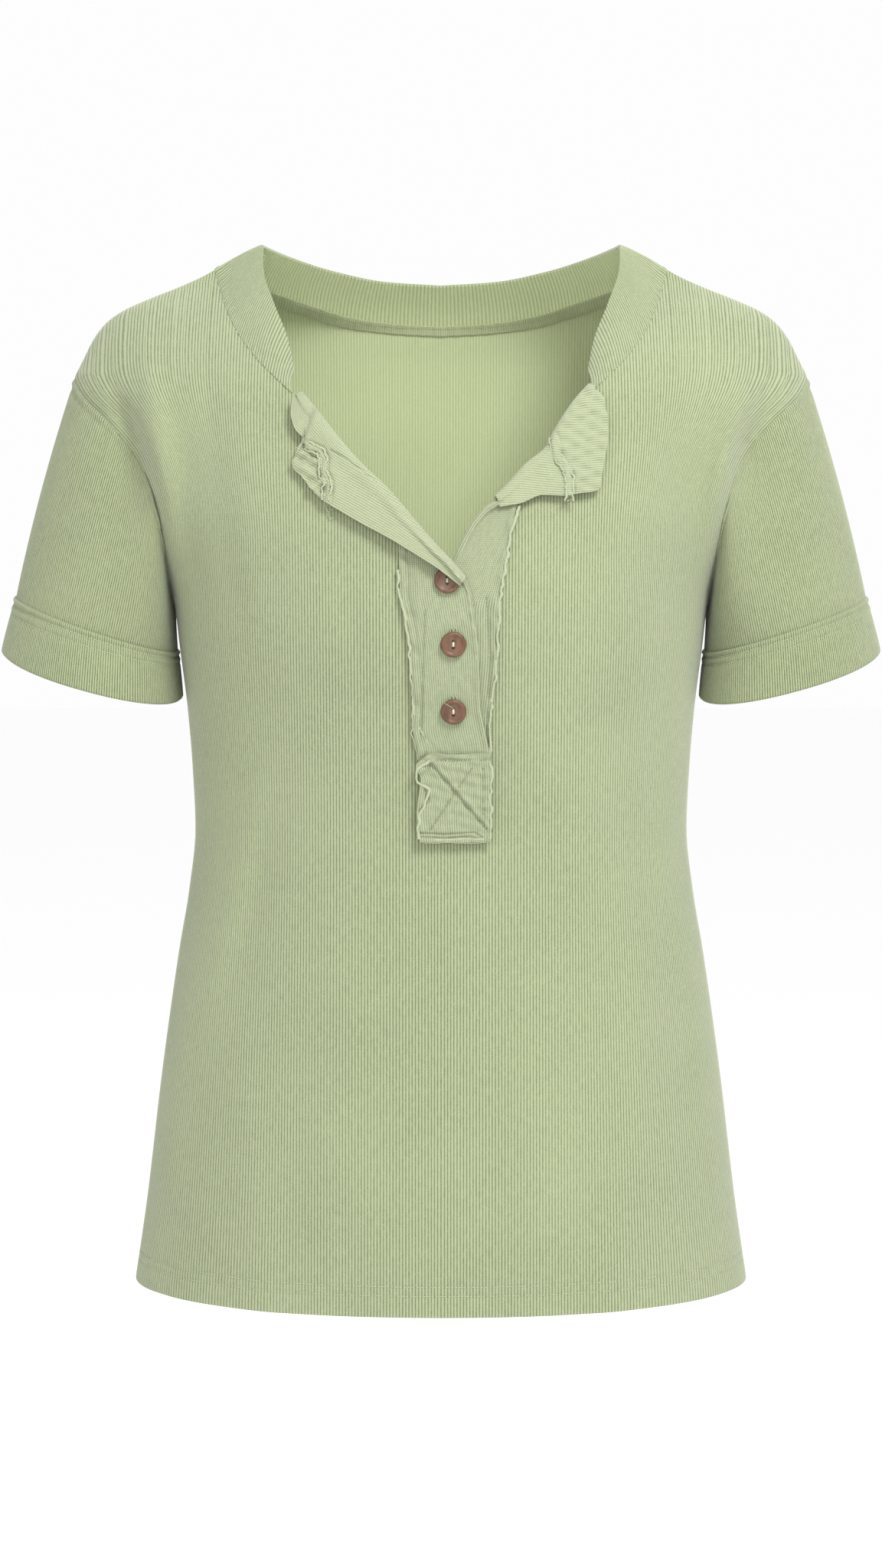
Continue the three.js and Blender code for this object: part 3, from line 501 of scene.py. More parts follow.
bodyPitch, sleevePitch, stripPitch, bandPitch = 1.88, 1.45, 1.3, 2.5
# Outside colours of the knit; the darker groove colour is painted shade
outRidge, outGrooveShade = (144, 152, 119), (99, 107, 79)
# Paler copies of the outside colours for the inside faces: painted light on the inside, which sits in shade
insideRidgePaintedLight, insideGroovePaintedLightAndShade = (178, 187, 147), (163, 173, 132)
# Pitch, colours of the ribs' backs and grooves (groove colours are painted shade in the rib valleys), height
# of their bump in metres, strength of the loops
fabrics = {
    "body": (bodyPitch, outRidge, outGrooveShade), "body_inside_painted_light": (bodyPitch, insideRidgePaintedLight, insideGroovePaintedLightAndShade, 0.0003),
    # The sleeve colours are a darker copy of the body's with deeper groove shade: painted shade for the less
    # lit sleeves
    "sleeve": (sleevePitch, (141, 149, 115), (84, 92, 65)),
    "sleeve_inside_painted_light": (sleevePitch, insideRidgePaintedLight, insideGroovePaintedLightAndShade, 0.0003),
    "strip": (stripPitch, (146, 153, 124), (105, 113, 85), 0.0, 0.7),
    "strip_inside": (stripPitch, (150, 157, 129), (124, 132, 104), 0.0002, 0.7),
    "band": (bandPitch, outRidge, outGrooveShade),
    # Much paler colours for the band's inner face: painted light on the back band, which sits in shade
    "band_inside_painted_light": (bandPitch, (210, 220, 175), (180, 190, 145), 0.0003),
    "lapel": (stripPitch, (151, 158, 128), (124, 132, 103), 0.00022, 0.5),
    "edge": (4, (156, 163, 134), (140, 148, 120), 0.0, 1.0),
    "tape": (1.6, (170, 178, 140), (140, 149, 112), 0.0002, 1.0),
}
knits = {name: knit("knit_" + name, *values) for name, values in fabrics.items()}
threadColours = {  # red, green, blue, roughness
    "thread": (156, 164, 134, 0.8), "thread_shaded": (120, 129, 100, 0.8),
    "thread_pale": (196, 192, 172, 0.75),
}
threads = {}
for name, (*colour, rough) in threadColours.items():
    threads[name] = Look(name, **{"Base Color": srgb(*colour), "Roughness": rough}).material
print("materials made")
body = {"ribHeight": 0.26, "rowsLow": 46, "rowsHigh": 38, "wall": 1.8}
hem = {"rows": (12.6, 18.0), "pinch": 0.35}


def armSamples(side, count=46):  # shares along the armhole at even steps of its length
    z, x, u = along(frontArmhole if side < 0 else backArmhole, 400, 1, 2)
    points = ringPoint(angleAt(x, z), z, side)
    way = wayAlong(points)
    return np.interp(np.linspace(0, way[-1], count), way, u)


def panel(name, side):
    ribs = round(chestLength / bodyPitch)
    level = np.arange(-3 * ribs, 3 * ribs + 1) / (3 * ribs)
    level = level[np.abs(level) < armPoint - 0.001]
    arm = armSamples(side)
    u = np.unique(np.round(join([-arm, level, arm]), 7))
    ends = topEdge(side)
    topZ, topAngle = np.interp(u, ends[0], ends[1]), np.interp(u, ends[0], ends[2])
    hemRows = np.array([0, 1.2, 3, 6, 9, 11.4, 12.6, 13.8, 15.3, 16.8, 18, 19.2, 22])
    low = join([hemRows, np.linspace(26, lowSpan, body["rowsLow"])]) / lowSpan
    v = join([low, 2 - (1 - np.linspace(0, 1, body["rowsHigh"])[1:]) ** 1.7])
    columns, rows = len(u), len(v)
    z = np.where(v[None] <= 1, hemZ + lowSpan * v[None], splitZ + (topZ[:, None] - splitZ) * (v[None] - 1))
    angle = naturalAngle(np.repeat(u[:, None], rows, 1), z, side)
    natural = naturalAngle(u, topZ, side)
    angle = angle + (topAngle - natural)[:, None] * np.maximum(0, v[None] - 1) ** 5
    base = bodySurface(angle, z, side)
    out = bodyNormal(angle, z, side)
    out[0, :, 1] = out[-1, :, 1] = 0
    top = (np.abs(u) <= armPoint) & (np.abs(u) >= neckPoint)
    seam = unit(np.stack([np.sign(u) * 0.6, 0 * u, 0 * u + 0.8], -1))
    out[top, -1] = seam[top]
    out = unit(out)
    s = u[:, None] * chestLength + 0 * z
    lift = (ribWave(s / bodyPitch) - 0.5) * body["ribHeight"]
    lift = lift * np.minimum(1, (v[None] * lowSpan + 0.6) / 3) * np.minimum(1, (2.02 - v[None]) * 12)
    above = z - hemZ
    for row in hem["rows"]:
        lift = lift - hem["pinch"] * bell(above - row, 0.9)
    lift = lift - 0.5 * bell((1 - np.abs(u[:, None])) * chestLength, 1.3) * (z < -200)
    uv = np.stack([s, above], -1)
    return clothShell(name, base, out, lift, body["wall"], uv, -side, [knits["body"], knits["body_inside_painted_light"]])


made = {"front_body": panel("front_body_cloth", -1), "back_body": panel("back_body_cloth", 1)}
print("body panels made")


# Outer place across and height, inner place across and height, half depth, dip
cuffSeamRing = (259, -201.5, 161.3, -235, 48, 3)
cuffMiddleRing = (264.2, -218, 159.6, -248.5, 50, 5)
cuffFootRing = (268, -233.5, 158.6, -263.5, 50, 9)
sleeveFullness = [  # turn, fullness
    (0, 1.8), (0.12, 3.5), (0.25, 6), (0.38, 3), (0.5, 0), (0.62, 3), (0.75, 5), (0.88, 3.5), (1, 1.8),
]
sleeve = {"rows": 34, "ribHeight": 0.22, "wall": 1.8, "cuffWall": 2.4, "cuffDeep": 32, "turn": 1.5}


# Points of the left armhole and the body's directions there: 0 at the shoulder, 0.5 under the arm
def armLoop(t):
    point, out = np.empty((len(t), 3)), np.empty((len(t), 3))
    for side, mask in ((-1, t <= 0.5), (1, t > 0.5)):
        e = 2 * np.minimum(t, 1 - t)
        rows = (frontArmhole if side < 0 else backArmhole)[::-1]
        keyed = [(k / (len(rows) - 1), *row) for k, row in enumerate(rows)]
        z, x = smoothTable(keyed, e, 2), smoothTable(keyed, e, 3)
        angle = np.where((e < 1e-6) | (e > 1 - 1e-6), rightAngle, angleAt(x, z))
        point[mask] = bodySurface(angle, z, side)[mask]
        out[mask] = bodyNormal(angle, z, side)[mask]
    return point, out


def sleeveRing(ring, t):
    outerX, outerZ, innerX, innerZ, depth, dip = ring
    bend = lambda value: np.sign(value) * np.abs(value) ** (2 / ringPowerSleeve)
    way, across = bend(np.cos(2 * np.pi * t)), bend(np.sin(2 * np.pi * t))
    x = (outerX + innerX) / 2 + (outerX - innerX) / 2 * way
    z = (outerZ + innerZ) / 2 + (outerZ - innerZ) / 2 * way
    return np.stack([x, -depth * across, z - dip * np.maximum(0, across)], -1)


def stepAway(points, outs, target, ownOut, wrap, gap, rise=0.375):
    tangent = np.roll(points, -1, 0) - np.roll(points, 1, 0) if wrap else np.gradient(points, axis=0)
    tangent = unit(tangent)
    away = target - points
    away = unit(away - tangent * (away * tangent).sum(-1, keepdims=True))
    back = np.maximum(0, -(ownOut * outs).sum(-1, keepdims=True))
    return points + away * gap + outs * rise * back


def armShare(t):  # place on the armhole of a rib that meets the cuff at t
    half = 1 - np.abs(2 * t - 1)
    warped = half ** sleeve["turn"]
    return np.where(t <= 0.5, warped / 2, 1 - warped / 2)


def sleeveSurface(t, v):
    points, outs = armLoop(armShare(t))
    foot = sleeveRing(cuffSeamRing, t)
    turn = 2 * np.pi * t
    own = np.stack([np.cos(turn), -np.sin(turn), 0 * t], -1)
    top = stepAway(points, outs, foot, own, True, 0.05)
    out = unit(foot - np.array([210, 0, -218]))
    size = smoothTable(sleeveFullness, t, 1)[:, None] * np.sin(np.pi * np.clip(v, 0, 1))[None] ** 0.8
    return top[:, None] + (foot - top)[:, None] * v[None, :, None] + out[:, None] * size[..., None]


def cuffSurface(t, v):
    seam, middle, foot = (sleeveRing(r, t)[:, None] for r in (cuffSeamRing, cuffMiddleRing, cuffFootRing))
    w = v[None, :, None]
    start = seam + unit(foot - seam) * 0.3
    base = (start * (1 - w) + middle * w) * (1 - w) + (middle * (1 - w) + foot * w) * w
    flat = base - np.array([212, 0, -230])
    flat[..., 2] = 0
    return base + unit(flat) * (0.5 - 0.8 * (np.abs(w - 0.5) > 0.495))


def evenTurns(pitch):  # turns of the sleeve's columns, three to a rib
    t = np.linspace(0, 1, 1200)
    way = wayAlong(sleeveSurface(t, np.array([0.7]))[:, 0])
    ribs = round(way[-1] / pitch)
    return np.interp(np.arange(3 * ribs) / (3 * ribs) * way[-1], way, t)


def mirrored(points):
    return points * np.array([-1, 1, 1])


turns = evenTurns(sleevePitch)
ribPhase = (np.arange(len(turns)) / 3)[:, None]
sleeveRibs = (ribWave(ribPhase) - 0.5) * sleeve["ribHeight"]


# Shell of a sleeve or cuff, mirrored for the wearer's right
def roundCloth(name, sign, base, lift, wall, down):
    out = gridNormals(base, 1, True)
    uv = np.stack(np.broadcast_arrays(ribPhase * sleevePitch, down), -1)
    if sign < 0:
        base, out = mirrored(base), mirrored(out)
    looks = [knits["sleeve"], knits["sleeve_inside_painted_light"]]
    return clothShell(name, base, out, lift, wall, uv, sign, looks, wrap=True)


def sleeveCloth(name, sign):
    v = join([np.linspace(0, 0.1, 11), np.linspace(0.12, 0.985, sleeve["rows"]), [1]])
    base = sleeveSurface(turns, v)
    drop = np.linalg.norm(base[:, -1] - base[:, 0], axis=-1)[:, None] * v[None]
    lift = sleeveRibs * np.minimum(1, np.minimum(v * 12, (1 - v) * 20))[None]
    lift = lift + 0.75 * bell(drop - 2.4, 1.5) - 0.35 * bell(drop - 6.0, 1.6)
    lift = lift + 0.22 * np.sin(turns * 190)[:, None] * bell(drop, 5)
    return roundCloth(name, sign, base, lift, sleeve["wall"], drop)


def cuffCloth(name, sign):
    v = np.array([0, 0.01, *np.arange(0.03, 0.14, 0.025), 0.16, 0.2, 0.23, 0.26, 0.29, 0.33, 0.4, 0.5, 0.6,
                  0.7, 0.8, 0.9, 0.95, 0.98, 1])
    deep = sleeve["cuffDeep"] * v[None]
    lift = sleeveRibs * np.minimum(1, (sleeve["cuffDeep"] + 0.3 - deep) / 2)
    lift = lift + 0.9 * bell(deep - 1.2, 1.1) - 0.5 * bell(deep - 3.6, 0.9)
    lift = lift + 0.35 * bell(deep - 6.2, 1.6) - 0.4 * bell(deep - 8.6, 0.9)
    return roundCloth(name, sign, cuffSurface(turns, v), lift, sleeve["cuffWall"], deep)


for name, sign in (("left", 1), ("right", -1)):
    made["sleeve_" + name] = sleeveCloth("sleeve_%s_cloth" % name, sign)
    made["cuff_" + name] = cuffCloth("cuff_%s_cloth" % name, sign)
print("sleeves made")
bandTop = [  # key along the band, place across, place forward and back, height
    (0, 0, 72, -8.5), (0.15, 34, 68, -6.5), (0.3, 68, 53, -0.5), (0.42, 95, 29, 7), (0.5, 108.5, 0, 11.5),
    (0.6, 107.5, -16, -3), (0.75, 99.5, -38, -26), (0.88, 90.5, -54, -48), (1, 86, -68, -67),
]
band = {"ribHeight": 0.34, "wall": 2.4, "rows": 14, "fullness": 1.6}


# Points, directions, keys, signs and lengths along the neck seam, from its left front end to its right one
def bandLine():
    points, outs, keys = [], [], []
    halves = ((neckEnd, neckPoint, 120, -1, frontNeck), (neckPoint, 0, 200, 1, backNeck))
    for first, last, count, side, table in halves:
        sizes = np.linspace(first, last, count)
        z, x = smoothTable(table, sizes, 1), smoothTable(table, sizes, 2)
        angle = angleAt(x, z)
        points.append(bodySurface(angle, z, side))
        outs.append(bodyNormal(angle, z, side))
        front = 1 - 0.5 * (sizes - neckEnd) / (neckPoint - neckEnd)
        keys.append(front if side < 0 else 0.5 * sizes / neckPoint)
    points, outs, keys = join(points), join(outs), join(keys)
    points = join([points, mirrored(points[::-1][1:])])
    outs = join([outs, mirrored(outs[::-1][1:])])
    sign = join([np.ones(len(keys)), -np.ones(len(keys) - 1)])
    keys = join([keys, keys[::-1][1:]])
    way = wayAlong(points)
    place = np.linspace(0, way[-1], 3 * round(way[-1] / bandPitch) + 1)
    spread = lambda values: np.stack([np.interp(place, way, values[:, k]) for k in range(3)], -1)
    kernel = np.hanning(31) / np.hanning(31).sum()
    outs = spread(outs)
    padded = join([np.repeat(outs[:1], 15, 0), outs, np.repeat(outs[-1:], 15, 0)])
    outs = unit(np.stack([np.convolve(padded[:, k], kernel, "valid") for k in range(3)], -1))
    return spread(points), outs, np.interp(place, way, keys), np.interp(place, way, sign), place


def bandCloth():
    points, outs, keys, signs, place = bandLine()
    crown = np.stack([smoothTable(bandTop, keys, k) for k in (1, 2, 3)], -1)
    crown[:, 0] *= signs
    start = stepAway(points, outs, crown, outs, False, -0.5) + outs * 0.35
    v = np.linspace(0, 1, band["rows"])
    side = unit(start * np.array([1, 1, 0]))[:, None]
    full = (band["fullness"] * np.sin(np.pi * v))[None, :, None]
    base = start[:, None] + (crown - start)[:, None] * v[None, :, None] + side * full
    out = gridNormals(base, 1)
    out[:, 0] = outs
    phase = (np.arange(len(place)) / 3)[:, None] + 0 * v
    lift = (ribWave(phase) - 0.5) * band["ribHeight"] - 0.5 * (np.maximum(0, v - 0.86) / 0.14)[None] ** 2
    high = np.linalg.norm(crown - start, axis=-1)[:, None] * v[None]
    pucker = waves(place, 0, ((0.5, 0.93, 0, 0), (0.35, 0.57, 0, 1.3), (0.3, 1.49, 0, 0.4)))
    lift = lift + 0.42 * pucker[:, None] * bell(high, 6) + 0.5 * bell(high - 2.2, 1.4)
    uv = np.stack([phase * bandPitch, high], -1)
    looks = [knits["band"], knits["band_inside_painted_light"]]
    return clothShell("neckband_cloth", base, out, lift, band["wall"], uv, 1, looks, inner=(1, 1))


made["neckband"] = bandCloth()
print("neckband made")
underStrip = [  # height, left edge, right edge
    (-341, -9, 25.5), (-310, -10, 27.5), (-289, -11, 28.6), (-268, -11, 29.2), (-254, -11, 31),
    (-232, -11, 32.8), (-208, -11, 32.7), (-202, -9, 33.4), (-194, 1, 34.6), (-186, 4.6, 36),
    (-173, 10, 38.5), (-165, 14.2, 40), (-158, 18.2, 41.4), (-147, 28.6, 43.6),
]
underStripTop = [  # share across, place across, height
    (0, 31.6, -142.4), (0.5, 38, -136.2), (1, 44.5, -129.3),
]
upperStrip = [
    (-341, -11.5, 25.2), (-310, -12, 27.2), (-289, -13.4, 27.2), (-275, -16.3, 24.9), (-264, -15.6, 22.8),
    (-254, -16, 22.2), (-239, -17.3, 21.8), (-228, -17.9, 21.1), (-220, -19.2, 20.2), (-211, -21, 18.9),
    (-200, -23.6, 17.4),
]
upperStripTop = [
    (0, -25, -144.5), (0.25, -15.5, -155.5), (0.5, -6.4, -166.5), (0.75, 5.6, -179.2), (1, 13.2, -189),
]
lapelRight = [  # place across and height of the roll, the same of the free edge, extra lift
    (31, -141.8, 33.5, -148.5, 0), (38, -135, 45, -146.5, 0), (48.7, -123.3, 58.5, -141.5, 0),
    (59.9, -114, 71, -142, 0.5), (64.9, -104.7, 78, -140.6, 0.5), (71.6, -93.9, 89.8, -138.4, 0.5),
    (76.6, -87, 93, -124, 0.5), (80.5, -82.5, 95.7, -108, 1), (83, -80, 95.5, -99, 1.5),
    (85, -78, 94, -87, 2),
]
lapelLeft = [
    (14.2, -188, 10.5, -193.5, 4.6), (7.1, -179.5, -1.8, -184, 5.2), (-2, -170, -14, -176, 3.8),
    (-14.6, -155.8, -30, -166, 1.6), (-30, -137.8, -45, -158, 0.6), (-46.1, -122.6, -56, -151.5, 0),
    (-58, -109.3, -68.6, -143.7, 0), (-66, -99.4, -79.4, -131.3, 0), (-70, -94, -85.3, -124.2, 0),
    (-73.2, -90.2, -78.5, -111.3, 0.4), (-75.8, -87.2, -84, -103.7, 1), (-78, -84.6, -86.2, -95.2, 1.6),
    (-79.6, -82.6, -85.5, -87, 2),
]
boxPatch = [
    (-343, -12, 28.6), (-325.5, -13.9, 29), (-311, -12.3, 29.1), (-305.5, -11.6, 29), (-297, -14.4, 28.6),
    (-290.5, -8, 27.6),
]
boxTop = [(0, -7, -290), (1, 27.4, -290)]
layer = 2.05  # one cloth lies this far above the next
strip = {"wall": 1.5, "ribHeight": 0.14, "grain": 0.45}
stripLooks, lapelLooks = ([knits[name], knits["strip_inside"]] for name in ("strip", "lapel"))


def stripGrid(table, tops, columns, lowRows, highRows):  # places across and heights of a strip's grid
    s = np.linspace(0, 1, columns)
    last = table[-1]
    z = table[0][0] + (last[0] - table[0][0]) * np.linspace(0, 1, lowRows)
    x = smoothTable(table, z, 1)[None] * (1 - s[:, None]) + smoothTable(table, z, 2)[None] * s[:, None]
    share = np.linspace(0, 1, highRows + 1)[None, 1:]
    endX, endZ = smoothTable(tops, s, 1)[:, None], smoothTable(tops, s, 2)[:, None]
    baseX = x[:, -1:]
    highX, highZ = baseX + (endX - baseX) * share, last[0] + (endZ - last[0]) * share
    return join([x, highX], 1), join([np.repeat(z[None], columns, 0), highZ], 1)


def nearLine(x, z, path):  # distance to a line of points, and the side of it, 1 on the left when it runs down
    gap, side = 1e9 + 0 * x, 0 * x
    for (ax, az), (bx, bz) in zip(path, path[1:]):
        dx, dz = bx - ax, bz - az
        t = np.clip(((x - ax) * dx + (z - az) * dz) / (dx * dx + dz * dz), 0, 1)
        found = np.hypot(x - ax - t * dx, z - az - t * dz)
        side = np.where(found < gap, np.sign((x - ax) * dz - (z - az) * dx), side)
        gap = np.minimum(gap, found)
    return gap, side


def groove(x, z, path, depth, half):
    return -depth * np.exp(-(nearLine(x, z, path)[0] / half) ** 2)


def flatStrip(name, table, tops, lowRows, highRows, liftOf):
    ribs = round((table[2][2] - table[2][1]) / stripPitch)
    x, z = stripGrid(table, tops, 3 * ribs + 1, lowRows, highRows)
    base = onFront(x, z, liftOf(x, z))
    out = gridNormals(base, 1)
    phase = (np.arange(3 * ribs + 1) / 3)[:, None] + 0 * z
    lift = (ribWave(phase) - 0.5) * strip["ribHeight"]
    uv = np.stack([phase * stripPitch, z], -1)
    return clothShell(name, base, out, lift, strip["wall"], uv, 1, stripLooks, inner=(2, 2))


rollStart = [(1.3, -0.6), (0.1, 0.8), (0, 3), (0.9, 4.9), (2.8, 6)]  # steps from the edge, heights


def lapel(name, table, sign, relief, ribsAt):  # round the roll edge and down to the free edge
    keyed = [(k / (len(table) - 1), *row) for k, row in enumerate(table)]
    length = sum(math.dist(a[:2], b[:2]) for a, b in zip(table, table[1:]))
    s = np.linspace(0, 1, round(length / strip["grain"]) + 1)
    rx, rz, ex, ez, lift = (smoothTable(keyed, s, k)[:, None] for k in range(1, 6))
    wide = np.hypot(ex - rx, ez - rz)
    knots = np.array([0, 0.035, 0.085, 0.13, 0.18, 0.42, 0.68, 0.92, 1.0])
    way = [step + 0 * wide for step, up in rollStart] + [2.8 + (wide - 2.8) * p for p in (0.35, 0.65, 0.9, 1)]
    off = [up + lift * max(0, up - 4) * 0.5 for step, up in rollStart]
    off += [6 + lift - 0.6 * p for p in (0.35, 0.65, 0.9, 1)]
    rise = np.where(s < 0.08, 2.6 * (0.08 - s) / 0.08, 0)[:, None]
    off = [o + np.where(o < 4, rise * (1 - o / 4), 0) for o in off]
    p = join([np.linspace(0, 0.18, 14), np.linspace(0.18, 1, round(float(wide.max()) / strip["grain"]))[1:]])
    k = np.clip(np.searchsorted(knots, p, side="right") - 1, 0, 7)
    f = ((p - knots[k]) / (knots[k + 1] - knots[k]))[None]

    def curve(values):
        g = join(values, 1)
        slope = np.gradient(g, knots, axis=1)
        h = (knots[k + 1] - knots[k])[None]
        a = (2 * f ** 3 - 3 * f ** 2 + 1) * g[:, k] + (f ** 3 - 2 * f ** 2 + f) * slope[:, k] * h
        return a + (3 * f ** 2 - 2 * f ** 3) * g[:, k + 1] + (f ** 3 - f ** 2) * slope[:, k + 1] * h

    d, o = curve(way), curve(off)
    x, z = rx + (ex - rx) * d / wide, rz + (ez - rz) * d / wide
    grid = onFront(x, z, o)
    out = gridNormals(grid, sign)
    uv = np.stack(np.broadcast_arrays(*ribsAt(x, z, wide - d, s[:, None] * length)), -1)
    front = ease((p - 0.13) / 0.06)[None]
    lift = relief(x, z) * front
    return clothShell(name, grid, out, lift, strip["wall"], uv, sign, lapelLooks, inner=(4, 4))


seamLeft = [
    (-76.4, -113.7), (-69.5, -117.0), (-67.1, -121.5), (-67.4, -128.8), (-64.4, -134.6), (-65.3, -144.8),
]
slitLeft = [(-63.1, -116.3), (-54, -121.5), (-44.9, -127.9), (-36.4, -134.6)]
seamRight = [(64, -109.2), (66.2, -119.9), (72, -127.9), (72.9, -135.4), (72.9, -145.2)]
slitRight = [(60.4, -116.3), (54, -121.2), (48.9, -125.7)]


def crumple(x, z):
    return waves(x, z, ((0.8, 0.45, 0.75, 0), (0.6, -0.4, 0.9, 1), (0.5, 0.31, -0.53, 2)))


def seamRidge(x, z, seam, dip, dipAt):  # raised overlocked seam, and the distance and side of it
    gap, side = nearLine(x, z, seam)
    return 1.3 * np.exp(-(gap / 2.1) ** 4) - dip * bell(gap - dipAt, 0.8), gap, side


def leftRelief(x, z):
    lift, gap, side = seamRidge(x, z, seamLeft, 0.5, 3.0)
    lift = lift + groove(x, z, slitLeft, 1.1, 0.5)
    soft = waves(x, z, ((0.35, 0.11, 0.16, 0), (0.25, 0.23, -0.12, 1)))
    return lift + np.where(side > 0, crumple(x, z) * np.minimum(1, gap / 3), soft * np.minimum(1, gap / 8))


def rightRelief(x, z):
    lift, gap, side = seamRidge(x, z, seamRight, 0.45, 3.1)
    lift = lift + groove(x, z, slitRight, 1.0, 0.5)
    rough, soft = crumple(x, z) * np.minimum(1, gap / 3), 0.3 * crumple(x / 3, z / 3)
    return lift + 0.5 * np.where(side < 0, rough, soft)


def leftRibs(x, z, edgeWay, length):
    end = nearLine(x, z, seamLeft)[1] > 0
    across = np.where(end, 0.5 * x + 0.87 * z, edgeWay * stripPitch / 1.36)
    return across, np.where(end, 0.87 * x - 0.5 * z, length + 0 * x)
def rightRibs(x, z, edgeWay, length):
    return z + 0.9 * np.sin(x / 9), x


boxCross = [(-5.8, -295.9), (25.8, -335)]
boxGrooves = [  # path, depth, half width
    (boxCross, 1.5, 0.9), ([(17.3, -299), (-6.2, -335.4)], 0.8, 0.9),
    ([(-12, -293.4), (28, -293.4)], 0.7, 0.8), ([(24, -299), (24.2, -333)], 0.6, 0.8),
    ([(-14.5, -305), (-8, -300), (-6.5, -296)], 1.2, 0.9),
    ([(-9, -311), (-7.4, -318), (-12, -324)], 1.2, 0.8),
    ([(-12, -337.4), (1.3, -338.1), (19, -337.2), (23.6, -340.3)], 1.3, 0.6),
    ([(-11, -339.7), (3, -340.6), (17, -339.4), (22, -341.5)], 1.2, 0.5),
]
upperSeam = [(-9, -207), (-10.5, -250), (-11.7, -289)]
underSeam = [(26.2, -200), (28.4, -235), (27, -267), (26, -288)]


def boxLift(x, z):
    gap, side = nearLine(x, z, boxCross)
    lift = layer * 3 + sum(groove(x, z, *row) for row in boxGrooves) + 0.6 * bell(gap - 2.2, 1.3) * (side < 0)
    lift = lift + 0.32 * np.sin(0.5 * x + 0.7 * z) * np.sin(0.21 * x - 0.3 * z)
    lift = lift + 0.22 * np.sin(0.95 * z + 0.2 * x + 0.5 * np.sin(0.4 * x))
    return lift + 0.7 * bell(x + 11.5, 2.4) + 0.5 * bell(x - 27, 1.8)


def upperLift(x, z):
    lift = layer + layer * np.clip((x + 19.5) / 6.5, 0, 1) + groove(x, z, upperSeam, 0.55, 0.8)
    edge, free = smoothTable(upperStrip, z, 1), smoothTable(upperStrip, z, 2)
    wavy = waves(0, z, ((0.55, 0, 1 / 5.1, 0), (0.4, 0, 1 / 2.7, 1), (0.3, 0, 1 / 1.7, 2)))
    lift = lift + (0.8 + 1.3 * wavy) * bell(x - edge - 1.8, 2.2) - 0.7 * bell(x - edge - 4.4, 1.1)
    return lift + 0.9 * bell(x - free + 1.2, 1.7) + 0.16 * np.sin(0.6 * x + 0.5 * z) * np.sin(0.17 * z)


def underLift(x, z):
    edge, roll = smoothTable(underStrip, z, 2), x - smoothTable(underStrip, z, 1) - 1.6
    wavy = waves(0, z, ((0.5, 0, 1 / 4.3, 0), (0.4, 0, 1 / 2.3, 2), (0.25, 0, 1 / 1.5, 0)))
    lift = layer + 2.2 * bell(roll, 2.2) * ease((z + 196) / 14) + groove(x, z, underSeam, 0.9, 0.9)
    return lift + (0.8 + 1.3 * wavy) * bell(x - edge + 1.8, 2.0)
made["strip_under"] = flatStrip("strip_under", underStrip, underStripTop, 110, 12, underLift)
made["strip_upper"] = flatStrip("strip_upper", upperStrip, upperStripTop, 110, 26, upperLift)
made["lapel_right"] = lapel("lapel_right", lapelRight, -1, rightRelief, rightRibs)
made["lapel_left"] = lapel("lapel_left", lapelLeft, 1, leftRelief, leftRibs)
made["placket_box"] = flatStrip("box_patch", boxPatch, boxTop, 100, 3, boxLift)
print("strips made")

onPiece = {}  # stitches, threads and tapes by the piece they are on


def addExtra(owner, obj):
    onPiece.setdefault(owner, []).append(obj)


button = {
    "places": [(3.5, -190.2), (7.1, -226), (7.1, -264.8)],  # place across, height
    "profile": [(0, 0), (5.6, 0), (6.6, 0.35), (7.2, 0.8), (7.5, 1.5), (7.35, 2.1), (6.9, 2.6), (6.4, 2.8),
                (5.9, 2.75), (5.4, 2.5), (5.0, 2.2), (4.6, 2.05), (3, 1.97), (0, 1.95)],  # radius, height
    "sides": 64, "face": 1.95, "hole": 0.95, "apart": 1.8, "lift": 0.55,
    "dark": (76, 50, 34), "light": (116, 83, 60),
    "thread": [(-1.2, -1.3), (-2.05, -1.0), (-2.35, 0), (-2.05, 1.0), (-1.2, 1.3)],
}
buttonLook = Look("button_wood", **{"Roughness": 0.42, "Specular IOR Level": 0.4})
spot = buttonLook.socket(buttonLook.node("ShaderNodeTexCoord"), 3)
turned = buttonLook.node("ShaderNodeMapping", None, Vector=spot, Scale=(300, 300, 90))
swirl = (buttonLook.noise(buttonLook.socket(turned), 1.0, 4.0) - 0.3) * 1.8
buttonLook.link(buttonLook.mix(swirl, srgb(*button["dark"]), srgb(*button["light"])), "Base Color")
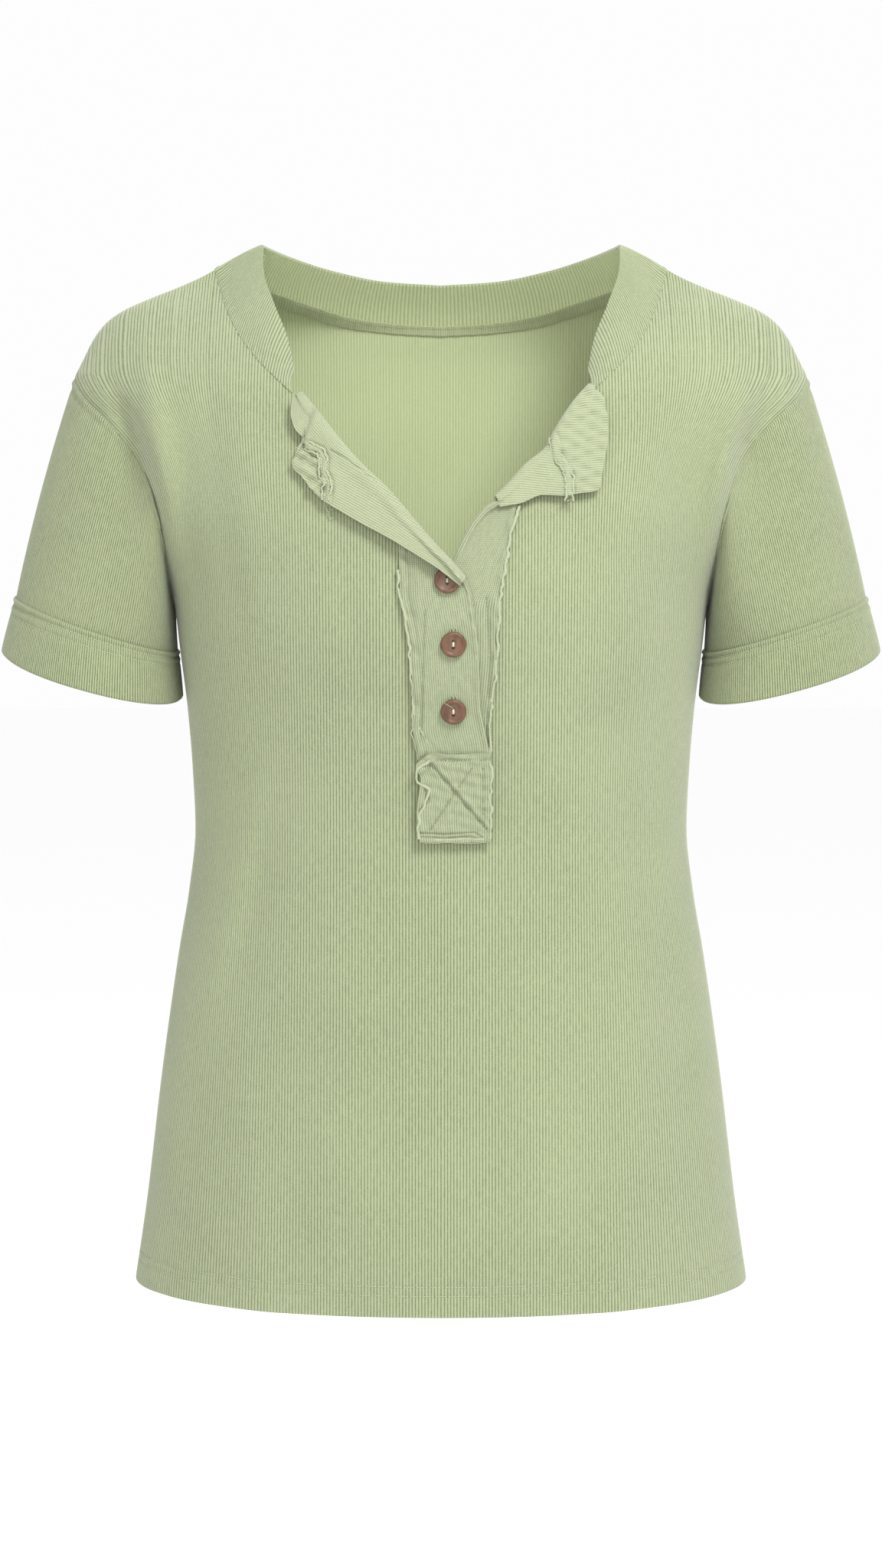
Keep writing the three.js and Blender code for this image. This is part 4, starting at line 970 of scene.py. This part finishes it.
def buttonMesh(name, x, z):
    foot = onFront(np.array(x), np.array(z), layer * 2 + button["lift"])
    up = onFront(np.array(x), np.array(z + 6.0)) - onFront(np.array(x), np.array(z - 6.0))
    tilt = math.atan2(up[1], up[2])
    sides = button["sides"]
    turn = np.linspace(0, 2 * np.pi, sides, endpoint=False)
    r, h = np.array(button["profile"])[1:-1].T
    ring = np.stack([np.cos(turn)[:, None] * r, -h[None] + 0 * turn[:, None], np.sin(turn)[:, None] * r], -1)
    points = join([ring.reshape(-1, 3), [[0, 0, 0], [0, -button["face"], 0]]])
    rows = len(r)
    faces = quads(sides, rows, 0, False, True).tolist()
    low, high = sides * rows, sides * rows + 1
    for i in range(sides):
        n = (i + 1) % sides
        faces += [[low, n * rows, i * rows], [high, i * rows + rows - 1, n * rows + rows - 1]]
    c, s = math.cos(-tilt), math.sin(-tilt)
    turnX = np.array([[1, 0, 0], [0, c, -s], [0, s, c]])
    mesh = bpy.data.meshes.new(name + "_wood")
    mesh.from_pydata(((points @ turnX.T + foot) / 1000).tolist(), [], faces)
    mesh.materials.append(buttonLook.material)
    obj = newObject(name + "_wood", mesh)
    for hole in (-button["apart"], button["apart"]):
        centre = np.array([0, -1.5, hole]) @ turnX.T + foot
        bpy.ops.mesh.primitive_cylinder_add(vertices=24, radius=button["hole"] / 1000, depth=0.012,
                                            location=centre / 1000, rotation=(math.pi / 2 - tilt, 0, 0))
        drill = bpy.context.object
        cut = obj.modifiers.new("hole", "BOOLEAN")
        cut.object, cut.operation, cut.solver = drill, "DIFFERENCE", "EXACT"
        shaped = bpy.data.meshes.new_from_object(obj.evaluated_get(bpy.context.evaluated_depsgraph_get()))
        obj.modifiers.clear()
        obj.data = shaped
        bpy.data.objects.remove(drill)
    obj.data.polygons.foreach_set("use_smooth", [True] * len(obj.data.polygons))
    obj.data.set_sharp_from_angle(angle=math.radians(40))
    for k, across in enumerate((-0.28, 0.28)):
        line = np.array([(across, *row) for row in button["thread"]]) @ turnX.T + foot
        addExtra(name, tube("%s_thread_%d" % (name, k), line, 0.3, threads["thread_pale"], 6))
    return obj
for k, (x, z) in enumerate(button["places"]):
    made["button_%d" % (k + 1)] = buttonMesh("button_%d" % (k + 1), x, z)
print("buttons made")


def stitchNodes():  # instances a small lengthened ball at even steps along curves
    group = bpy.data.node_groups.new("stitch_run", "GeometryNodeTree")
    kinds = {"Geometry": "Geometry", "Spacing": "Float", "Length": "Float", "Radius": "Float", "Seed": "Int",
             "Material": "Material"}
    ports = {}
    for name, kind in kinds.items():
        port = group.interface.new_socket(name=name, in_out="INPUT", socket_type="NodeSocket" + kind)
        ports[name] = port.identifier
    group.interface.new_socket(name="Geometry", in_out="OUTPUT", socket_type="NodeSocketGeometry")
    add = group.nodes.new
    start, end = add("NodeGroupInput"), add("NodeGroupOutput")
    spread, ball = add("GeometryNodeCurveToPoints"), add("GeometryNodeMeshUVSphere")
    place, chance = add("GeometryNodeInstanceOnPoints"), add("FunctionNodeRandomValue")
    half, size = add("ShaderNodeMath"), add("ShaderNodeCombineXYZ")
    real, paint = add("GeometryNodeRealizeInstances"), add("GeometryNodeSetMaterial")
    spread.mode, half.operation, chance.data_type = "LENGTH", "MULTIPLY", "FLOAT"
    for node, key, value in ((ball, "Segments", 7), (ball, "Rings", 4), (ball, "Radius", 1),
                             (chance, 2, 0.34), (chance, 3, 0.58)):
        node.inputs[key].default_value = value
    wires = [(start, "Geometry", spread, "Curve"), (start, "Spacing", spread, "Length"),
             (start, "Seed", chance, "Seed"), (start, "Length", half, 0), (chance, 1, half, 1),
             (start, "Radius", size, 0), (start, "Radius", size, 1), (half, 0, size, 2),
             (spread, "Points", place, "Points"), (ball, 0, place, "Instance"),
             (spread, "Rotation", place, "Rotation"), (size, 0, place, "Scale"), (place, 0, real, 0),
             (real, 0, paint, "Geometry"), (start, "Material", paint, "Material"), (paint, 0, end, 0)]
    for source, port, target, slot in wires:
        group.links.new(source.outputs[port], target.inputs[slot])
    return group, ports


stitchRun, stitchPorts = stitchNodes()
stitch = {"spacing": 2.5, "length": 1.9, "radius": 0.26, "seed": 5}


def stitches(owner, name, paths, material=threads["thread"], **changes):
    curve = bpy.data.curves.new(name, "CURVE")
    curve.dimensions = "3D"
    for path in paths:
        spline = curve.splines.new("POLY")
        spline.points.add(len(path) - 1)
        spline.points.foreach_set("co", join([np.asarray(path) / 1000, np.ones((len(path), 1))], 1).ravel())
    guide = newObject(name, curve)
    modifier = guide.modifiers.new("stitches", "NODES")
    modifier.node_group = stitchRun
    size = {**stitch, **changes}
    for key in ("spacing", "length", "radius"):
        modifier[stitchPorts[key.capitalize()]] = size[key] / 1000
    modifier[stitchPorts["Seed"]] = size["seed"]
    modifier[stitchPorts["Material"]] = material
    mesh = bpy.data.meshes.new_from_object(guide.evaluated_get(bpy.context.evaluated_depsgraph_get()))
    guide.modifiers.clear()
    bpy.data.objects.remove(guide)
    addExtra(owner, newObject(name, mesh))


def resample(path, step):
    path = np.asarray(path, float)
    way = wayAlong(path)
    place = np.linspace(0, way[-1], max(2, round(way[-1] / step) + 1))
    return np.stack([np.interp(place, way, path[:, k]) for k in range(path.shape[1])], -1)


def aside(points):  # unit steps square to a flat path
    step = unit(np.gradient(points, axis=0))
    return np.stack([-step[:, 1], step[:, 0]], -1)


def zigzag(path, step, half):
    points = resample(path, step)
    return points + aside(points) * (half * (-1) ** np.arange(len(points)))[:, None]


def thread(owner, name, flat, lift, radius=0.2, material=threads["thread"]):
    addExtra(owner, tube(name, onFront(*np.asarray(flat, float).T, lift), radius, material, 5))


def rawEdge(owner, name, flat, lift, radius):
    flat = resample(flat, 0.5)
    wave = rng.normal(0, 1, len(flat))
    wave = np.convolve(wave, np.hanning(17), "same") + 0.5 * np.convolve(wave, np.hanning(7), "same")
    wave = wave / wave.std()
    flat[:, 0] += 0.4 * wave
    addExtra(owner, tube(name, onFront(*flat.T, lift), radius * (1 + 0.14 * wave), knits["edge"], 7))


def fold(owner, name, flat, lifts, sizes, wave=0.0):  # soft roll, heights and radii by share of its length
    part = np.linspace(0, 1, len(flat))
    size = np.interp(part, *sizes) * (1 + wave * np.sin(np.arange(len(flat)) / 3.3))
    addExtra(owner, tube(name, onFront(*flat.T, np.interp(part, *lifts)), size, knits["strip"], 14))


for side, owner in ((-1, "front_body"), (1, "back_body")):
    share = np.linspace(-0.997, 0.997, 300)
    rows = []
    for above in hem["rows"]:
        height = np.full(300, hemZ + above)
        angle = naturalAngle(share, height, side)
        rows.append(bodySurface(angle, height, side) + bodyNormal(angle, height, side) * -0.12)
    stitches(owner, owner + "_hem_stitches", rows)

for name, flip in (("left", 1), ("right", -1)):
    t = np.linspace(0, 1, 400)
    surface = cuffSurface(t, np.array([3.0, 3.6, 4.2, 8.0, 8.6, 9.2]) / sleeve["cuffDeep"])
    out = gridNormals(surface, 1, True)
    rows = [surface[:, 1] + out[:, 1] * -0.2, surface[:, 4] + out[:, 4] * -0.12]
    stitches("cuff_" + name, "cuff_%s_stitches" % name, [r * np.array([flip, 1, 1]) for r in rows])
print("hem stitches made")

tape = {"wide": 6.8, "wall": 0.1, "lift": 0.25, "rows": (0.9, 5.9), "reach": 0.57, "columns": 360,
        "step": 0.75}
sizes = np.linspace(-tape["reach"], tape["reach"], tape["columns"])
neckZ = smoothTable(backNeck, np.abs(sizes), 1)
neckX = smoothTable(backNeck, np.abs(sizes), 2) * np.sign(sizes)
down = -aside(np.stack([neckX, neckZ], -1))


def tapePoint(off, lift):
    px, pz = neckX + down[:, 0] * off, neckZ + down[:, 1] * off
    angle = angleAt(px, pz)
    return bodySurface(angle, pz, 1) - bodyNormal(angle, pz, 1) * lift


def neckTape():
    off = np.linspace(-0.4, tape["wide"], 12)
    grid = np.stack([tapePoint(o, body["wall"] + tape["lift"]) for o in off], 1)
    inward = gridNormals(grid, 1)
    inward = inward * np.sign((inward * (np.array([0, 0, -100]) - grid)).sum(-1).mean())
    way = np.arange(tape["columns"])[:, None] * tape["step"]
    bulge = 0.55 * np.sin(np.pi * np.linspace(0, 1, 12))[None] ** 0.5 + 0.4
    bulge = bulge + 0.16 * np.sin(way / 1.9) + 0.1 * np.sin(way / 0.83 + 1)
    facing = 1 if np.cross(grid[1, 0] - grid[0, 0], grid[0, 1] - grid[0, 0]) @ inward[0, 0] > 0 else -1
    uv = np.stack(np.broadcast_arrays(way, off[None]), -1)
    looks = [knits["tape"], knits["tape"]]
    return clothShell("neck_tape", grid, inward, bulge, tape["wall"], uv, facing, looks, inner=(2, 2))


addExtra("back_body", neckTape())
tapeRows = [tapePoint(o, body["wall"] + 1.2) for o in tape["rows"]]
stitches("back_body", "neck_tape_stitches", tapeRows, spacing=1.9, length=1.5, radius=0.24)

boxSeams = [
    boxCross, [(17.3, -299), (-6.2, -335.4)], [(-11, -293.6), (27.5, -293.6)], [(24, -299), (24.2, -333)],
    [(-10, -300), (-10.4, -334)],
]
stripSeams = [  # owner, name, paths, height above the front, spacing, length
    ("strip_upper", "strip_upper_stitches", [upperSeam], layer * 2, 2.2, 1.4),
    ("strip_under", "strip_under_stitches", [underSeam], layer, 2.4, 1.6),
    ("placket_box", "box_stitches", boxSeams, layer * 3 - 0.2, 2.3, 1.6),
]
for owner, name, paths, lift, spacing, length in stripSeams:
    rows = [onFront(*resample(path, 1).T, lift) for path in paths]
    stitches(owner, name, rows, threads["thread_shaded"], spacing=spacing, length=length, radius=0.24)

rawEdges = [  # owner, name, height above the front, radius, path of places across and heights
    ("strip_upper", "strip_upper_edge", layer + 0.9, 0.9,
     [(-24.4, -184), (-23.8, -192), (-22.6, -201), (-21, -209), (-19.2, -219), (-18, -228), (-17.3, -239),
      (-16, -254), (-15.6, -264), (-14.2, -272), (-8, -284), (-9, -291)]),
    ("strip_upper", "strip_upper_edge_second", layer + 0.6, 0.8,
     [(-15.6, -264), (-16.2, -271), (-15.7, -281), (-12.6, -294)]),
    ("strip_under", "strip_under_edge", layer + 0.8, 0.85,
     [(44.6, -147.5), (42.2, -155), (39.6, -165), (37.4, -177), (36, -188), (34.2, -198), (33, -212),
      (32.6, -230), (31.6, -246), (29.2, -262), (28.6, -280), (28.4, -292)]),
    ("placket_box", "box_edge_left", layer * 3 + 0.3, 0.8,
     [(-6, -293.5), (-14, -299), (-13, -307), (-7, -311), (-9, -320), (-13, -328), (-12.6, -341)]),
    ("placket_box", "box_edge_right", layer * 3 + 0.2, 0.7,
     [(28, -294), (28.8, -306), (28.4, -322), (28.2, -341)]),
    ("placket_box", "box_edge_low", layer * 2.7, 0.75,
     [(-12, -341), (0, -341.6), (14, -341), (27.6, -341.3)]),
    ("placket_box", "box_edge_low_second", layer * 1.6, 0.6,
     [(-10, -343.4), (4, -343), (18, -343.6), (26.5, -343)]),
]
for owner, name, lift, radius, path in rawEdges:
    rawEdge(owner, name, path, lift, radius)

ridgeLift = 5.9
for side, line in (("left", seamLeft), ("right", seamRight)):
    flat = zigzag(line, 1.1, 1.9)
    lift = ridgeLift + 1.25 - 0.5 * (nearLine(*flat.T, line)[0] / 2) ** 2
    thread("lapel_" + side, "lapel_%s_chain" % side, flat, lift, 0.22, knits["edge"])
looseThread = [(-66.7, -146), (-66.2, -148.5), (-64.6, -151), (-64.9, -153), (-63.2, -154.6), (-61.5, -154)]
thread("lapel_left", "loose_thread", looseThread, [4.5, 3, 2.2, 1.6, 1.4, 1.6])
looseThread = [(-67.5, -143.5), (-66, -146.5), (-63.8, -148), (-62.4, -150.2)]
thread("lapel_left", "loose_thread_second", looseThread, [5.5, 4, 2.6, 2], 0.18)

loopPath = [(1.7, 6.6), (1.9, 8.2), (1.1, 9.5), (0.3, 8.6), (0.2, 6.8)]  # from the middle of a button
knotPath = [(-1.1, -7.3), (-0.2, -8.4), (0.9, -8.0), (0.3, -7.2)]
for k, (x, z) in enumerate(button["places"]):
    name, lift = "button_%d" % (k + 1), layer * 2 + 0.75
    if k:
        for way in (-1, 1):
            loop = [(x + way * a, z + b) for a, b in loopPath]
            thread(name, "%s_loop_%d" % (name, way + 2), loop, lift, 0.26)
        thread(name, name + "_knot", [(x + a, z + b) for a, b in knotPath], lift, 0.32)
thread("button_1", "button_1_tail", [(4.2, -197.5), (2.6, -201), (-0.6, -205.5)], layer * 2 + 0.5, 0.18)
tail = [(7.6, -262.5), (5.4, -260.6), (3.2, -259.4), (1.6, -258.6)]
thread("button_3", "button_3_tail", tail, [9.2, 9.6, 9.4, 8.6], 0.16, knits["edge"])

heights = np.linspace(-200, -289, 90)
low = np.stack([smoothTable(upperStrip, heights, 2) - 1.1, heights], -1)
high = resample([(9.4, -184.2), (11.6, -188), (13.8, -192.5), (15.4, -196.5), (16.2, -199)], 1)
fold("strip_upper", "strip_upper_fold", join([high, low]), ([0, 0.12, 1], [5.4, layer * 1.9, layer * 1.6]),
     ([0, 0.06, 0.3, 0.8, 1], [0.8, 1.5, 1.3, 1.1, 0.9]), 0.05)
underFold = [
    (36, -145.2), (31, -146.8), (27, -149.2), (23.6, -152.4), (18.6, -158.6), (14.6, -165.6), (11.2, -172),
    (7.2, -180.4),
]
fold("strip_under", "strip_under_fold", resample(underFold, 1), ([0, 0.3, 1], [5.0, 3.6, layer * 1.2]),
     ([0, 0.15, 0.8, 1], [0.9, 1.9, 1.8, 1.2]))
for side, line in (("left", seamLeft), ("right", seamRight)):
    for k, off in enumerate((2.1, -2.1)):
        points = resample(line, 0.7)
        points = points + aside(points) * (off + 0.25 * np.sin(np.arange(len(points)) * 1.1 + k))[:, None]
        rawEdge("lapel_" + side, "lapel_%s_edge_%d" % (side, k), points, ridgeLift + 0.75, 0.62)
print("threads made")
def plane(name, size, place, colour):
    bpy.ops.mesh.primitive_plane_add(size=size, location=place)
    obj = bpy.context.object
    obj.name = name
    obj.data.materials.append(Look(name, **{"Base Color": colour, "Roughness": 0.9}).material)
    return obj


floor = plane("floor", 40, (0, 0, -1.4), (0.985, 0.985, 0.985, 1))

studio = {  # metres and watts: place, what it points at, size, power
    "key": ((0.85, -1.8, 1.6), (0, 0, -0.25), 0.8, 72), "front": ((-0.3, -3.0, 0.25), (0, 0, -0.2), 1.5, 22),
    "back": ((0.2, 2.2, 1.4), (0, 0, -0.3), 1.5, 60),
}
for name, (place, target, size, power) in studio.items():
    light = bpy.data.lights.new(name, "AREA")
    light.shape, light.size, light.energy = "SQUARE", size, power
    obj = newObject(name, light)
    obj.location = place
    obj.rotation_euler = (Vector(target) - Vector(place)).to_track_quat("-Z", "Y").to_euler()
world = bpy.data.worlds.new("studio")
bpy.context.scene.world = world
world.use_nodes = True
world.node_tree.nodes["Background"].inputs["Color"].default_value = (1, 1, 1, 1)
world.node_tree.nodes["Background"].inputs["Strength"].default_value = 0.985
bpy.context.scene.view_settings.view_transform = "Standard"

camera = bpy.data.cameras.new("camera")
camera.sensor_fit, camera.sensor_height, camera.lens = "VERTICAL", 36, 78.783
camera.clip_end = 50
eye = newObject("camera", camera)
eye.location = (0, -2.1, -0.15173)
eye.rotation_euler = (math.radians(85.5), 0, 0)
bpy.context.scene.camera = eye
print("stage made")
# Solids that a piece stands for, where they aren't the one of its own name
covers = {
    "strip_under": ["placket_under"], "strip_upper": ["placket_upper"], "lapel_right": [], "lapel_left": [],
}
for key, obj in made.items():
    extras = onPiece.get(key, [])
    for piece in [obj, *extras]:
        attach(piece, "root")
        "button" if piece == obj and key.startswith("button") else "cloth"
    if covers.get(key, [key]):
        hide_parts(*covers.get(key, [key]))
